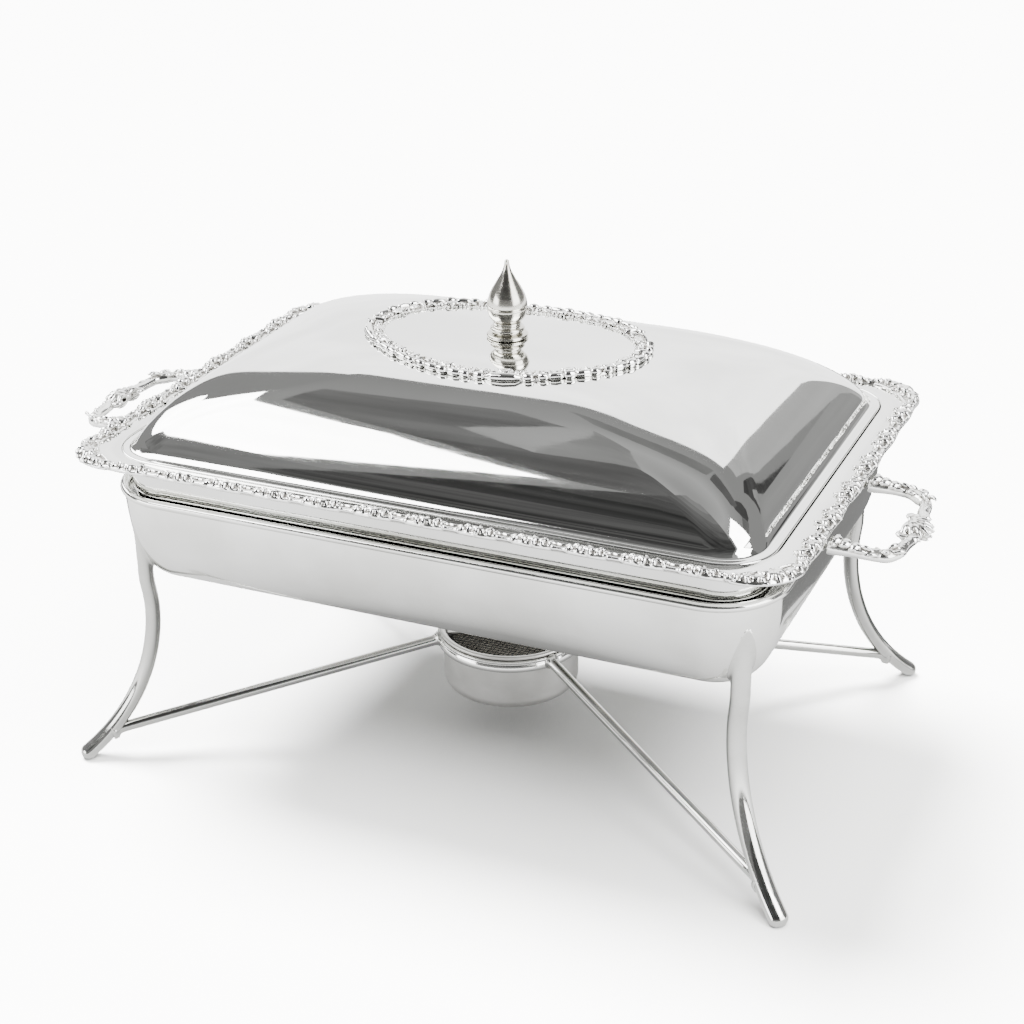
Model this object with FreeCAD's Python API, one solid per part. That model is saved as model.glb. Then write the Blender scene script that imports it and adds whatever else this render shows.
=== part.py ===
import FreeCAD, Part
import math
import os

# A rectangular chafing dish: a water pan on four curved legs, a food pan with a cast
# border and two loop handles, a domed cover with a finial, and a fuel burner in a ring.
# Frame: millimetres, +Z up, +X along the long side (left to right), -Y is the front.
# The origin is on the table, under the middle of the water pan.

os.makedirs("parts", exist_ok=True)
V = FreeCAD.Vector
UP = V(0, 0, 1)

# ---- driving dimensions -------------------------------------------------------------
SHEET = 1.0                # thickness of every stamped sheet
GAP = 0.3                  # clearance between pieces that come apart

# water pan: half sizes at the top of its wall
WATER_X = 198.0
WATER_Y = 133.0
WATER_R = 38.0             # corner radius of the wall in plan
WATER_FLOOR_Z = 120.0      # underside of the floor
WATER_LEDGE_Z = 171.5      # top of the inner ledge
WATER_WALL_IN = 19.4       # how far the wall draws in towards the floor
WATER_LEDGE_W = 15.0       # width of the ledge, from the wall inwards
BEAD_R = 2.5               # radius of the rolled bead
BEAD_Z = 173.0             # height of the bead's centre

# food pan: half sizes of the well's outer wall, just under the cover's step
WELL_X = 192.5
WELL_Y = 129.0
WELL_R = 29.5
FLANGE_X = 213.0           # half sizes of the flange
FLANGE_Y = 145.0
FLANGE_R = 30.0
FLANGE_TOP = 197.4
STEP_DEPTH = 2.8           # depth of the step that takes the cover's lip
STEP_OUT = 3.0             # step edge, outside the well wall
SHOULDER_Z = WATER_LEDGE_Z + GAP
SHOULDER_R = 4.5
WELL_IN = 12.5             # shoulder width, from the well wall inwards
WELL_FLOOR_Z = 131.0       # underside of the food pan's floor
WELL_CURVE = 13.0          # how far the lower wall draws in towards the floor

# cover: half sizes of the dome's foot
DOME_X = 188.0
DOME_Y = 124.5
DOME_R = 25.0
LIP_OUT = 6.5              # width of the hemmed lip
LIP_THICK = 2.6
LIP_Z = FLANGE_TOP - STEP_DEPTH + GAP
DOME_TOP = 251.0
DOME_END_POWERS = (4.2, 1.33)    # fullness of the profile along X: across, up
DOME_SIDE_POWERS = (3.0, 1.25)   # fullness of the profile along Y: across, up
DOME_R_GROWTH = 64.0       # how much the level curves' corner radius grows
DOME_LEVELS = (0.0, 0.28, 0.55, 0.78, 0.93, 0.985, 0.997)

# oval ring on the cover
RING_X = 87.0
RING_Y = 60.0
RING_WIDTH = 12.5
RING_RELIEF = 4.8
PEG_R = 1.2

# finial
STUD_R = 2.5
COLLAR_TOP = DOME_TOP + 9.4
SEAM_Z = DOME_TOP + 18.5
FLAME_TIP = 297.0
BULB_R = 11.6
NUT_FLATS = 8.0

# legs
LEG_TOP_X = 182.5          # plan position where the leg leaves the pan
LEG_TOP_Y = 117.3
LEG_DIR = (0.776, 0.631)   # plan direction of the splay
LEG_WIDE = 5.75            # half width across the splay
LEG_DEEP = 4.5             # half depth along the splay
LEG_BEND_R = 115.0
LEG_BEND_Z = 96.0          # height where the leg starts to curve outwards
LEG_SET_IN = 2.4
LEG_END_Z = 3.9            # height of the centre line at the foot
LEG_TOP_Z = 150.0

# stretchers and burner
ROD_R = 3.3
ROD_FOOT = (205.8, 136.2, 16.0)
RING_BAND_R = 45.0         # outer radius of the band that holds the burner
RING_BAND_T = 2.2
RING_BAND_Z = (54.5, 61.8)
ROD_TOP_Z = 58.2
CUP_R = 41.5
CUP_WALL = 0.9
CUP_Z = (26.5, 64.6)
CUP_BOTTOM_R = 6.0
CUP_RIM_R = 44.2
WADDING_TOP = 50.0
SCREEN_R = CUP_R - CUP_WALL - 0.5
SCREEN_Z = (57.0, 61.2)

# handles
HANDLE_MID_Y = -30.0       # the handles sit forward of the middle
HANDLE_HALF = 42.0         # half distance between the two arms
HANDLE_ROOT_X = 212.5
HANDLE_OUT_X = 249.0
HANDLE_ROOT_Z = 190.5
HANDLE_OUT_Z = 184.5
HANDLE_ROD_R = 4.3
HANDLE_CORNER_R = 19.0


# ---- helpers ------------------------------------------------------------------------
def save(shape, name):
    """Write one node and report its volume."""
    shape = shape.removeSplitter()
    if not shape.isValid():
        shape.fix(0.01, 0.01, 0.01)
    shape.exportStep(f"parts/{name}.step")
    print(f"{name:28s} solids {len(shape.Solids)} volume {shape.Volume:12.1f} valid {shape.isValid()}")


def path_edges(start, steps):
    """Edges through points (across, height). A pair of points is an arc's middle and end,
    and a list of points is a smooth curve through them."""
    edges = []
    here = start
    for step in steps:
        if isinstance(step, list):
            curve = Part.BSplineCurve()
            curve.interpolate([V(p[0], 0, p[1]) for p in [here] + step])
            edges.append(curve.toShape())
            here = step[-1]
        elif isinstance(step[0], tuple):
            mid, end = step
            edges.append(Part.Arc(V(here[0], 0, here[1]), V(mid[0], 0, mid[1]), V(end[0], 0, end[1])).toShape())
            here = end
        else:
            edges.append(Part.makeLine(V(here[0], 0, here[1]), V(step[0], 0, step[1])))
            here = step
    if math.dist(here, start) > 1e-6:
        edges.append(Part.makeLine(V(here[0], 0, here[1]), V(start[0], 0, start[1])))
    return edges


def profile(start, steps):
    """A closed face in the XZ plane."""
    return Part.Face(Part.Wire(path_edges(start, steps)))


def quarter_down(top, foot):
    """Points of a quarter ellipse, upright at its top and level at its foot, after the top."""
    run = top[0] - foot[0]
    rise = top[1] - foot[1]
    points = []
    for part in range(1, 7):
        turn = math.radians(15 * part)
        points.append((top[0] - run * (1 - math.cos(turn)), top[1] - rise * math.sin(turn)))
    return points


def quarter_up(foot, top):
    """The same curve from its foot to its top, after the foot."""
    return quarter_down(top, foot)[-2::-1] + [top]


def swept_corner(face, half_x, half_y, radius, sx, sy):
    """The profile turned through the rounded corner at (sx, sy)."""
    turned = face.copy()
    turned.translate(V(radius, 0, 0))
    start = {(1, 1): 0, (-1, 1): 90, (-1, -1): 180, (1, -1): 270}[(sx, sy)]
    turned.rotate(V(), UP, start)
    solid = turned.revolve(V(), UP, 90)
    solid.translate(V(sx * (half_x - radius), sy * (half_y - radius), 0))
    return solid


def swept_side(face, half_x, half_y, radius, side):
    """The profile run along one straight side: right, left, back or front."""
    length_x = 2 * (half_x - radius)
    length_y = 2 * (half_y - radius)
    turn, reach, length = {
        "right": (0, half_x, length_y),
        "back": (90, half_y, length_x),
        "left": (180, half_x, length_y),
        "front": (270, half_y, length_x),
    }[side]
    strip = face.copy()
    strip.translate(V(reach, -length / 2, 0))
    solid = strip.extrude(V(0, length, 0))
    solid.rotate(V(), UP, turn)
    return solid


def swept_frame(face, half_x, half_y, radius):
    """The profile run all round a rounded rectangle."""
    sides = [swept_side(face, half_x, half_y, radius, s) for s in ("right", "back", "left", "front")]
    corners = [swept_corner(face, half_x, half_y, radius, sx, sy) for sx in (1, -1) for sy in (1, -1)]
    return sides[0].multiFuse(sides[1:] + corners).removeSplitter()


def rounded_wire(half_x, half_y, radius, z):
    """A level rounded rectangle: four lines and four arcs, from the right side round."""
    edges = []
    flat_x = half_x - radius
    flat_y = half_y - radius
    diagonal = radius * math.sqrt(0.5)
    for quadrant in range(4):
        turn = FreeCAD.Rotation(UP, 90 * quadrant)
        wide, deep = (flat_x, flat_y) if quadrant % 2 == 0 else (flat_y, flat_x)
        side = [V(wide + radius, -deep, z), V(wide + radius, deep, z)]
        arc = [V(wide + radius, deep, z), V(wide + diagonal, deep + diagonal, z), V(wide, deep + radius, z)]
        edges.append(Part.makeLine(*[turn.multVec(p) for p in side]))
        edges.append(Part.Arc(*[turn.multVec(p) for p in arc]).toShape())
    return Part.Wire(edges)


def rounded_plate(half_x, half_y, radius, low, high):
    return Part.Face(rounded_wire(half_x, half_y, radius, low)).extrude(V(0, 0, high - low))


def turned(start, steps):
    """A solid of revolution about the Z axis, from points (radius, height)."""
    return profile(start, steps).revolve(V(), UP, 360)


def tube_between(a, b, radius):
    axis = b - a
    return Part.makeCylinder(radius, axis.Length, a, axis)


CORNERS = {
    "front_left": (-1, -1),
    "front_right": (1, -1),
    "back_left": (-1, 1),
    "back_right": (1, 1),
}


# ---- stand --------------------------------------------------------------------------
def water_wall_profile():
    """Wall of the water pan: outer curve up, ledge, then the inner curve down."""
    foot = (-WATER_WALL_IN, WATER_FLOOR_Z)
    under = WATER_LEDGE_Z - SHEET
    return profile(foot, [
        quarter_up(foot, (0.0, under)), (0.0, WATER_LEDGE_Z), (-WATER_LEDGE_W, WATER_LEDGE_Z),
        (-WATER_LEDGE_W, under), (-SHEET, under),
        quarter_down((-SHEET, under), (-WATER_WALL_IN, WATER_FLOOR_Z + SHEET)),
    ])


def water_pan_envelope():
    """The space that the water pan's outside takes up, as one solid block."""
    foot = (-WATER_WALL_IN, WATER_FLOOR_Z)
    under = WATER_LEDGE_Z - SHEET
    rim = profile(foot, [quarter_up(foot, (0.0, under)), (-WATER_WALL_IN, under)])
    shell = swept_frame(rim, WATER_X, WATER_Y, WATER_R)
    core = rounded_plate(
        WATER_X - WATER_WALL_IN, WATER_Y - WATER_WALL_IN, WATER_R - WATER_WALL_IN,
        WATER_FLOOR_Z, WATER_LEDGE_Z - SHEET,
    )
    return shell.fuse(core)


def make_water_pan():
    wall = swept_frame(water_wall_profile(), WATER_X, WATER_Y, WATER_R)
    floor = rounded_plate(
        WATER_X - WATER_WALL_IN, WATER_Y - WATER_WALL_IN, WATER_R - WATER_WALL_IN,
        WATER_FLOOR_Z, WATER_FLOOR_Z + SHEET,
    )
    save(wall.fuse(floor), "water_pan")


def make_water_pan_rim():
    """The rolled edge: a round bead that sits on the ledge and over the end of it."""
    drop = BEAD_Z - WATER_LEDGE_Z
    inner = -math.sqrt(BEAD_R ** 2 - drop ** 2)
    slant = BEAD_R * math.sqrt(0.5)
    bead = profile((inner, WATER_LEDGE_Z), [
        ((0.0, BEAD_Z + BEAD_R), (BEAD_R, BEAD_Z)),
        ((slant, BEAD_Z - slant), (0.0, BEAD_Z - BEAD_R)),
        (0.0, WATER_LEDGE_Z),
    ])
    save(swept_frame(bead, WATER_X, WATER_Y, WATER_R), "water_pan_rim")


def leg_point(height):
    """Distance along the splay and slope angle of the leg's centre line at a height."""
    turn = math.asin((LEG_BEND_Z - height) / LEG_BEND_R)
    return LEG_BEND_R * (1 - math.cos(turn)) - LEG_SET_IN, turn


def make_leg(name, sx, sy, envelope):
    """One oval leg: upright at the pan, curved outwards, with a domed foot cut flat."""
    along = V(sx * LEG_DIR[0], sy * LEG_DIR[1], 0)
    across = UP.cross(along)
    base = V(sx * LEG_TOP_X, sy * LEG_TOP_Y, 0)

    def at(distance, height):
        return base + along * distance + UP * height

    end_s, end_turn = leg_point(LEG_END_Z)
    mid_turn = end_turn / 2
    mid_s = LEG_BEND_R * (1 - math.cos(mid_turn)) - LEG_SET_IN
    mid_z = LEG_BEND_Z - LEG_BEND_R * math.sin(mid_turn)
    upright = Part.makeLine(at(-LEG_SET_IN, LEG_TOP_Z), at(-LEG_SET_IN, LEG_BEND_Z))
    curve = Part.Arc(at(-LEG_SET_IN, LEG_BEND_Z), at(mid_s, mid_z), at(end_s, LEG_END_Z)).toShape()
    oval = Part.Ellipse(V(), LEG_WIDE, LEG_DEEP).toShape()
    placed = FreeCAD.Rotation(across, along, UP, "ZXY")
    oval.Placement = FreeCAD.Placement(at(-LEG_SET_IN, LEG_TOP_Z), placed)
    body = Part.Wire([upright, curve]).makePipeShell([Part.Wire([oval])], True, False)
    dome = Part.makeSphere(1.0)
    stretch = FreeCAD.Matrix()
    stretch.A11 = LEG_WIDE
    stretch.A22 = LEG_DEEP
    stretch.A33 = LEG_DEEP
    dome = dome.transformGeometry(stretch)
    dome.Placement = FreeCAD.Placement(at(end_s, LEG_END_Z), placed)
    leg = body.fuse(dome).cut(envelope)
    below = Part.makeBox(800, 600, 50, V(-400, -300, -50))
    leg = leg.cut(below)
    save(leg, f"leg_{name}")
    return leg


def make_stretcher(name, sx, sy, leg):
    """A rod from a leg up to the outside of the burner ring."""
    foot = V(sx * ROD_FOOT[0], sy * ROD_FOOT[1], ROD_FOOT[2])
    plan = V(foot.x, foot.y, 0).normalize()
    top = plan * (RING_BAND_R - RING_BAND_T) + UP * ROD_TOP_Z
    rod = tube_between(foot, top, ROD_R)
    band = Part.makeCylinder(RING_BAND_R, 60, V(0, 0, 20))
    save(rod.cut(band).cut(leg), f"stretcher_{name}")


def make_burner_ring():
    """A band with a rounded upper edge."""
    low, high = RING_BAND_Z
    inner = RING_BAND_R - RING_BAND_T
    edge = RING_BAND_T / 2
    save(turned((inner, low), [(RING_BAND_R, low), (RING_BAND_R, high - edge),
                               ((RING_BAND_R - edge, high), (inner, high - edge))]), "burner_ring")


# ---- food pan -----------------------------------------------------------------------
def make_food_pan():
    top = FLANGE_TOP
    step = top - STEP_DEPTH
    shoulder_out = -2.0 - SHOULDER_R
    bend = SHOULDER_R * (1 - math.sqrt(0.5))
    inner_r = SHOULDER_R - SHEET
    inner_bend = inner_r * (1 - math.sqrt(0.5))
    low = SHOULDER_Z
    foot = (-WELL_IN - WELL_CURVE, WELL_FLOOR_Z)
    inner_foot = (foot[0], WELL_FLOOR_Z + SHEET)
    steps = [
        (STEP_OUT + SHEET, top), (STEP_OUT + SHEET, step - SHEET), (0.0, step - SHEET),
        (-2.0, low + SHOULDER_R),
        ((-2.0 - bend, low + bend), (shoulder_out, low)),
        (-WELL_IN, low), quarter_down((-WELL_IN, low), foot), inner_foot,
        quarter_up(inner_foot, (-WELL_IN - SHEET, low + SHEET)), (shoulder_out, low + SHEET),
        ((-2.0 - SHEET - inner_bend, low + SHEET + inner_bend), (-2.0 - SHEET, low + SHOULDER_R)),
        (-SHEET, step), (STEP_OUT, step),
    ]
    wall = swept_frame(profile((STEP_OUT, top), steps), WELL_X, WELL_Y, WELL_R)
    inset = WELL_IN + WELL_CURVE
    floor = rounded_plate(WELL_X - inset, WELL_Y - inset, WELL_R - inset, WELL_FLOOR_Z, WELL_FLOOR_Z + SHEET)
    flange = rounded_plate(FLANGE_X, FLANGE_Y, FLANGE_R, top - SHEET, top)
    flange = flange.cut(rounded_plate(WELL_X + STEP_OUT, WELL_Y + STEP_OUT, WELL_R + STEP_OUT, top - 5, top + 5))
    save(wall.multiFuse([floor, flange]), "food_pan")


def border_profile(width, overhang, relief):
    """Half-round strip that covers the flange's edge and hangs a little over it."""
    top = FLANGE_TOP
    return profile((-width, top), [
        (-width * 0.85, top + relief * 0.6), (-width * 0.35, top + relief),
        (overhang * 0.6, top + relief * 0.6), (overhang, top), (overhang * 0.6, top - 1.9),
        (0.0, top - 1.9), (0.0, top),
    ])


def make_borders():
    strip = border_profile(11.5, 2.2, 3.6)
    for side in ("front", "back", "left", "right"):
        save(swept_side(strip, FLANGE_X, FLANGE_Y, FLANGE_R, side), f"border_{side}")
    mount = border_profile(15.0, 4.2, 4.6)
    for name, (sx, sy) in CORNERS.items():
        save(swept_corner(mount, FLANGE_X, FLANGE_Y, FLANGE_R, sx, sy), f"corner_mount_{name}")


def handle_wire(side):
    """Centre line of a loop handle: out, round two corners and back."""
    fall = (HANDLE_OUT_Z - HANDLE_ROOT_Z) / (HANDLE_OUT_X - HANDLE_ROOT_X)
    corner = HANDLE_CORNER_R
    bend = corner * (1 - math.sqrt(0.5))

    def at(out, y):
        return V(side * out, HANDLE_MID_Y + y, HANDLE_ROOT_Z + fall * (out - HANDLE_ROOT_X))

    outer = HANDLE_OUT_X
    half = HANDLE_HALF
    return Part.Wire([
        Part.makeLine(at(HANDLE_ROOT_X, -half), at(outer - corner, -half)),
        Part.Arc(at(outer - corner, -half), at(outer - bend, -half + bend), at(outer, -half + corner)).toShape(),
        Part.makeLine(at(outer, -half + corner), at(outer, half - corner)),
        Part.Arc(at(outer, half - corner), at(outer - bend, half - bend), at(outer - corner, half)).toShape(),
        Part.makeLine(at(outer - corner, half), at(HANDLE_ROOT_X, half)),
    ])


def make_handle(name, side):
    """A cast loop with a shell-shaped swelling at the middle of its outer bar."""
    wire = handle_wire(side)
    start = wire.OrderedVertexes[0].Point
    heading = wire.OrderedEdges[0].tangentAt(0)
    section = Part.Wire([Part.makeCircle(HANDLE_ROD_R, start, heading)])
    loop = wire.makePipeShell([section], True, False, 2)
    shell = Part.makeSphere(1.0)
    stretch = FreeCAD.Matrix()
    stretch.A11 = 9.5
    stretch.A22 = 16.0
    stretch.A33 = 5.5
    shell = shell.transformGeometry(stretch)
    shell.translate(V(side * (HANDLE_OUT_X - 1.5), HANDLE_MID_Y, HANDLE_OUT_Z + 0.5))
    lugs = []
    low = HANDLE_ROOT_Z - 5.0
    high = FLANGE_TOP - SHEET
    for arm in (-1, 1):
        near = 199.5
        width = HANDLE_ROOT_X - near
        corner = V(near if side > 0 else -HANDLE_ROOT_X, HANDLE_MID_Y + arm * HANDLE_HALF - 6.5, low)
        lugs.append(Part.makeBox(width, 13.0, high - low, corner))
    save(loop.fuse(shell).cut(lugs[0]).cut(lugs[1]), f"handle_{name}")
    save(Part.makeCompound(lugs), f"handle_lugs_{name}")


# ---- cover --------------------------------------------------------------------------
def dome_solid(inset):
    """The dome's volume, drawn in by inset: level rounded rectangles, lofted and closed."""
    base = LIP_Z + LIP_THICK
    rise = DOME_TOP - base - inset
    wires = []
    for level in DOME_LEVELS:
        half_x = (DOME_X - inset) * (1 - level ** DOME_END_POWERS[1]) ** (1 / DOME_END_POWERS[0])
        half_y = (DOME_Y - inset) * (1 - level ** DOME_SIDE_POWERS[1]) ** (1 / DOME_SIDE_POWERS[0])
        radius = min(DOME_R - inset + DOME_R_GROWTH * level ** 2, 0.95 * half_y)
        wires.append(rounded_wire(half_x, half_y, radius, base + rise * level))
    return Part.makeLoft(wires, True, False)


def dome_cap_height(inset):
    """Height of the small flat at the top of the dome."""
    base = LIP_Z + LIP_THICK
    return base + (DOME_TOP - base - inset) * DOME_LEVELS[-1]


def make_cover(outer):
    """Dome, with a flat hemmed lip, a hole for the finial and holes for the ring's pegs."""
    base = LIP_Z + LIP_THICK
    inner = dome_solid(SHEET)
    lip = rounded_plate(DOME_X + LIP_OUT, DOME_Y + LIP_OUT, DOME_R + LIP_OUT, LIP_Z, base)
    opening = rounded_plate(DOME_X - SHEET, DOME_Y - SHEET, DOME_R - SHEET, LIP_Z - 1, base)
    shell = outer.fuse(lip).cut(inner).cut(opening)
    shell = shell.cut(Part.makeCylinder(STUD_R, 20, V(0, 0, DOME_TOP - 10)))
    for peg in ring_pegs():
        shell = shell.cut(peg)
    save(shell, "cover_shell")


def ring_pegs():
    pegs = []
    for index in range(6):
        turn = math.radians(30 + 60 * index)
        x = (RING_X - RING_WIDTH / 2) * math.cos(turn)
        y = (RING_Y - RING_WIDTH / 2) * math.sin(turn)
        pegs.append(Part.makeCylinder(PEG_R, 9, V(x, y, DOME_TOP - 9.5)))
    return pegs


def make_cover_ring(outer):
    """Oval band that follows the dome, and the pegs that come through the sheet."""
    def oval(half_x, half_y):
        edge = Part.Ellipse(V(0, 0, DOME_TOP - 20), half_x, half_y).toShape()
        return Part.Face(Part.Wire([edge])).extrude(V(0, 0, 30))

    band = oval(RING_X, RING_Y).cut(oval(RING_X - RING_WIDTH, RING_Y - RING_WIDTH))
    raised = outer.copy()
    raised.translate(V(0, 0, RING_RELIEF))
    ring = band.common(raised).cut(outer)
    for peg in ring_pegs():
        ring = ring.cut(peg)
    save(ring, "cover_ring")
    save(Part.makeCompound(ring_pegs()), "cover_ring_pegs")


def make_finial():
    """Turned collar, lower bulb and flame on one stud, with a washer and nut inside."""
    base = dome_cap_height(0.0)
    save(turned((STUD_R, base), [
        (10.0, base), (10.0, base + 0.5), ((12.0, base + 1.6), (10.0, base + 2.7)),
        (8.0, base + 3.6), (9.6, base + 4.6), ((10.0, base + 5.3), (9.6, base + 6.0)),
        (8.0, base + 7.0), (8.0, COLLAR_TOP), (STUD_R, COLLAR_TOP),
    ]), "finial_collar")
    save(turned((STUD_R, COLLAR_TOP), [
        (7.9, COLLAR_TOP), ((10.8, COLLAR_TOP + 4.2), (BULB_R, SEAM_Z)), (STUD_R, SEAM_Z),
    ]), "finial_bulb")
    tip_r = 1.7
    save(turned((0.0, SEAM_Z), [
        (BULB_R, SEAM_Z), ((10.9, SEAM_Z + 4.4), (8.4, SEAM_Z + 8.8)),
        ((4.2, SEAM_Z + 16.2), (tip_r, FLAME_TIP - tip_r)),
        ((tip_r * math.sqrt(0.5), FLAME_TIP - tip_r + tip_r * math.sqrt(0.5)), (0.0, FLAME_TIP)),
    ]), "finial_flame")
    nut_top = dome_cap_height(SHEET) - 1.0
    save(Part.makeCylinder(STUD_R, SEAM_Z - nut_top + 5.5, V(0, 0, nut_top - 5.5)), "finial_stud")
    washer = Part.makeCylinder(6.0, 1.0, V(0, 0, nut_top))
    save(washer.cut(Part.makeCylinder(STUD_R, 3, V(0, 0, nut_top - 1))), "finial_washer")
    corner_r = NUT_FLATS / 2 / math.cos(math.radians(30))
    points = [V(corner_r * math.cos(math.radians(60 * k)), corner_r * math.sin(math.radians(60 * k)), nut_top - 4)
              for k in range(7)]
    nut = Part.Face(Part.makePolygon(points)).extrude(V(0, 0, 4))
    save(nut.cut(Part.makeCylinder(STUD_R, 8, V(0, 0, nut_top - 6))), "finial_nut")


# ---- burner -------------------------------------------------------------------------
def make_burner():
    low, high = CUP_Z
    inner = CUP_R - CUP_WALL
    bend = CUP_BOTTOM_R * (1 - math.sqrt(0.5))
    inner_bend = (CUP_BOTTOM_R - CUP_WALL) * (1 - math.sqrt(0.5))
    rim_low = RING_BAND_Z[1] + GAP
    rim_mid = (rim_low + high) / 2
    save(turned((0.0, low), [
        (CUP_R - CUP_BOTTOM_R, low), ((CUP_R - bend, low + bend), (CUP_R, low + CUP_BOTTOM_R)),
        (CUP_R, rim_low), (CUP_RIM_R - 1.0, rim_low), ((CUP_RIM_R, rim_mid), (CUP_RIM_R - 1.0, high)),
        (inner, high), (inner, low + CUP_BOTTOM_R),
        ((inner - inner_bend, low + CUP_WALL + inner_bend), (inner - CUP_BOTTOM_R + CUP_WALL, low + CUP_WALL)),
        (0.0, low + CUP_WALL),
    ]), "burner_cup")
    floor = low + CUP_WALL
    packed = inner - 0.2
    save(turned((0.0, floor), [
        (packed - CUP_BOTTOM_R, floor), (packed, floor + CUP_BOTTOM_R), (packed, WADDING_TOP - 2),
        (packed - 2, WADDING_TOP), (0.0, WADDING_TOP),
    ]), "burner_wadding")
    base, top = SCREEN_Z
    wire_z = base + 1.6
    save(turned((SCREEN_R - 4.0, base), [
        (SCREEN_R, base), (SCREEN_R, top), (SCREEN_R - 1.0, top), (SCREEN_R - 1.0, wire_z),
        (SCREEN_R - 4.0, wire_z),
    ]), "screen_frame")
    save(Part.makeCylinder(SCREEN_R - 1.0, 0.8, V(0, 0, wire_z)), "screen_gauze")
    half = SCREEN_R - 1.2
    bar = Part.makeBox(2 * half, 3.0, 1.2, V(-half, -1.5, wire_z + 0.8))
    bar.rotate(V(), UP, 28)
    save(bar.common(Part.makeCylinder(half, 5, V(0, 0, wire_z))), "screen_bar")


# ---- build --------------------------------------------------------------------------
make_water_pan()
make_water_pan_rim()
pan_block = water_pan_envelope()
for corner_name, (corner_x, corner_y) in CORNERS.items():
    one_leg = make_leg(corner_name, corner_x, corner_y, pan_block)
    make_stretcher(corner_name, corner_x, corner_y, one_leg)
make_burner_ring()
make_food_pan()
make_borders()
make_handle("left", -1)
make_handle("right", 1)
dome = dome_solid(0.0)
make_cover(dome)
make_cover_ring(dome)
make_finial()
make_burner()
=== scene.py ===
import random
from math import asin, atan2, cos, exp, hypot, pi, radians, sin, sqrt

import bmesh
import bpy
import numpy as np
from mathutils import Matrix, Vector, noise
from mathutils.bvhtree import BVHTree


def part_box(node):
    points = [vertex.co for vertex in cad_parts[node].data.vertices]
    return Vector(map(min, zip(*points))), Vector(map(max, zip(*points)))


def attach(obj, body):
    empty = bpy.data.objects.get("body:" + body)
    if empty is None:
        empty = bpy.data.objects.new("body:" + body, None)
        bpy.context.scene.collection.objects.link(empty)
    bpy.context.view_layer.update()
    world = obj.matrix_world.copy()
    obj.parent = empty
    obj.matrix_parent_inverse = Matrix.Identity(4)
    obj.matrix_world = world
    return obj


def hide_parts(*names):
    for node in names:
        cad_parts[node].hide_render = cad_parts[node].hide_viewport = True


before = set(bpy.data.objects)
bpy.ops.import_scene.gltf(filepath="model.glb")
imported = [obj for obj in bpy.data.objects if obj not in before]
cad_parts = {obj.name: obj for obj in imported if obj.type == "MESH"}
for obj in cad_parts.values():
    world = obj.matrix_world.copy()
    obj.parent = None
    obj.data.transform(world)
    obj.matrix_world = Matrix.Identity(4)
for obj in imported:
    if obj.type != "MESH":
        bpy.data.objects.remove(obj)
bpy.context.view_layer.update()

# Looks for a silver-plated chafing dish. Lengths are millimetres and turn into metres in
# mesh_object(). +X is the long side, -Y the front, +Z up, and the origin is on the table.

MM = 0.001


def node_box(node):
    """Lowest and highest corner of a CAD node, in millimetres."""
    low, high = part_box(node)
    return Vector(low) / MM, Vector(high) / MM


# ---- sizes taken from the frame ------------------------------------------------------
SHEET = 1.0              # thickness of the stamped sheets
WATER_LOW, WATER_HIGH = node_box("water_pan")
WATER_X, WATER_Y = WATER_HIGH.x, WATER_HIGH.y
WATER_R = 38.0           # corner radius in plan
WATER_PLAN = (WATER_X, WATER_Y, WATER_R)
WATER_WALL_IN = 19.4     # how far the wall draws in towards the floor
LEDGE_Z = WATER_HIGH.z
LEDGE_W = 15.0           # width of the inner ledge
BEAD_LOW, BEAD_HIGH = node_box("water_pan_rim")
BEAD_R = (BEAD_HIGH.z - BEAD_LOW.z) / 2
BEAD_Z = (BEAD_HIGH.z + BEAD_LOW.z) / 2

PAN_LOW, PAN_HIGH = node_box("food_pan")
FLANGE_X, FLANGE_Y = PAN_HIGH.x, PAN_HIGH.y
FLANGE_R = 30.0          # corner radius in plan
FLANGE_PLAN = (FLANGE_X, FLANGE_Y, FLANGE_R)
FLANGE_TOP = PAN_HIGH.z
FLOOR_Z = PAN_LOW.z
WALL_PLAN = (FLANGE_X - 20.5, FLANGE_Y - 16.0, 29.5)  # the pan's wall, at its top
STEP_OUT = 3.0           # the step under the cover's lip is this much wider than the wall
STEP_DEPTH = 2.8
SHOULDER_R = 4.5         # rounding where the wall turns in over the ledge
WELL_IN = 12.5           # the deep well starts this far inside the wall
WELL_CURVE = 13.0        # and draws in by this much down to its floor

COVER_LOW, COVER_HIGH = node_box("cover_shell")
LIP_OUT = 6.5            # how far the hemmed lip stands out from the dome
LIP_THICK = 2.6
DOME_X, DOME_Y, DOME_R = COVER_HIGH.x - LIP_OUT, COVER_HIGH.y - LIP_OUT, 25.0
DOME_PLAN = (DOME_X, DOME_Y, DOME_R)
DOME_CORNER_POWER = 2.25  # a little squarer than a circle
LIP_Z = COVER_LOW.z
DOME_FOOT = LIP_Z + LIP_THICK
DOME_RISE = 53.5
DOME_END_POWERS = (4.2, 1.33)    # fullness of the profile along X: across, up
DOME_SIDE_POWERS = (3.0, 1.25)   # the same along Y
DOME_R_GROWTH = 64.0     # how much the level curves' corner radius grows

RING_HIGH = node_box("cover_ring")[1]
RING_X, RING_Y, RING_WIDTH = RING_HIGH.x, RING_HIGH.y, 12.5

CORNER_STEPS = 20        # points on each corner of a loop
SIDE_STEPS = 22          # points on each of its sides
UP = Vector((0, 0, 1))


# ---- materials -----------------------------------------------------------------------
def new_material(name, kind="BsdfPrincipled"):
    """An empty material with one shader; gives the material, its node tree and the shader."""
    material = bpy.data.materials.new(name)
    material.use_nodes = True
    tree = material.node_tree
    tree.nodes.clear()
    output = add_node(tree, "OutputMaterial")
    shader = add_node(tree, kind)
    tree.links.new(shader.outputs[0], output.inputs["Surface"])
    return material, tree, shader


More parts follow.
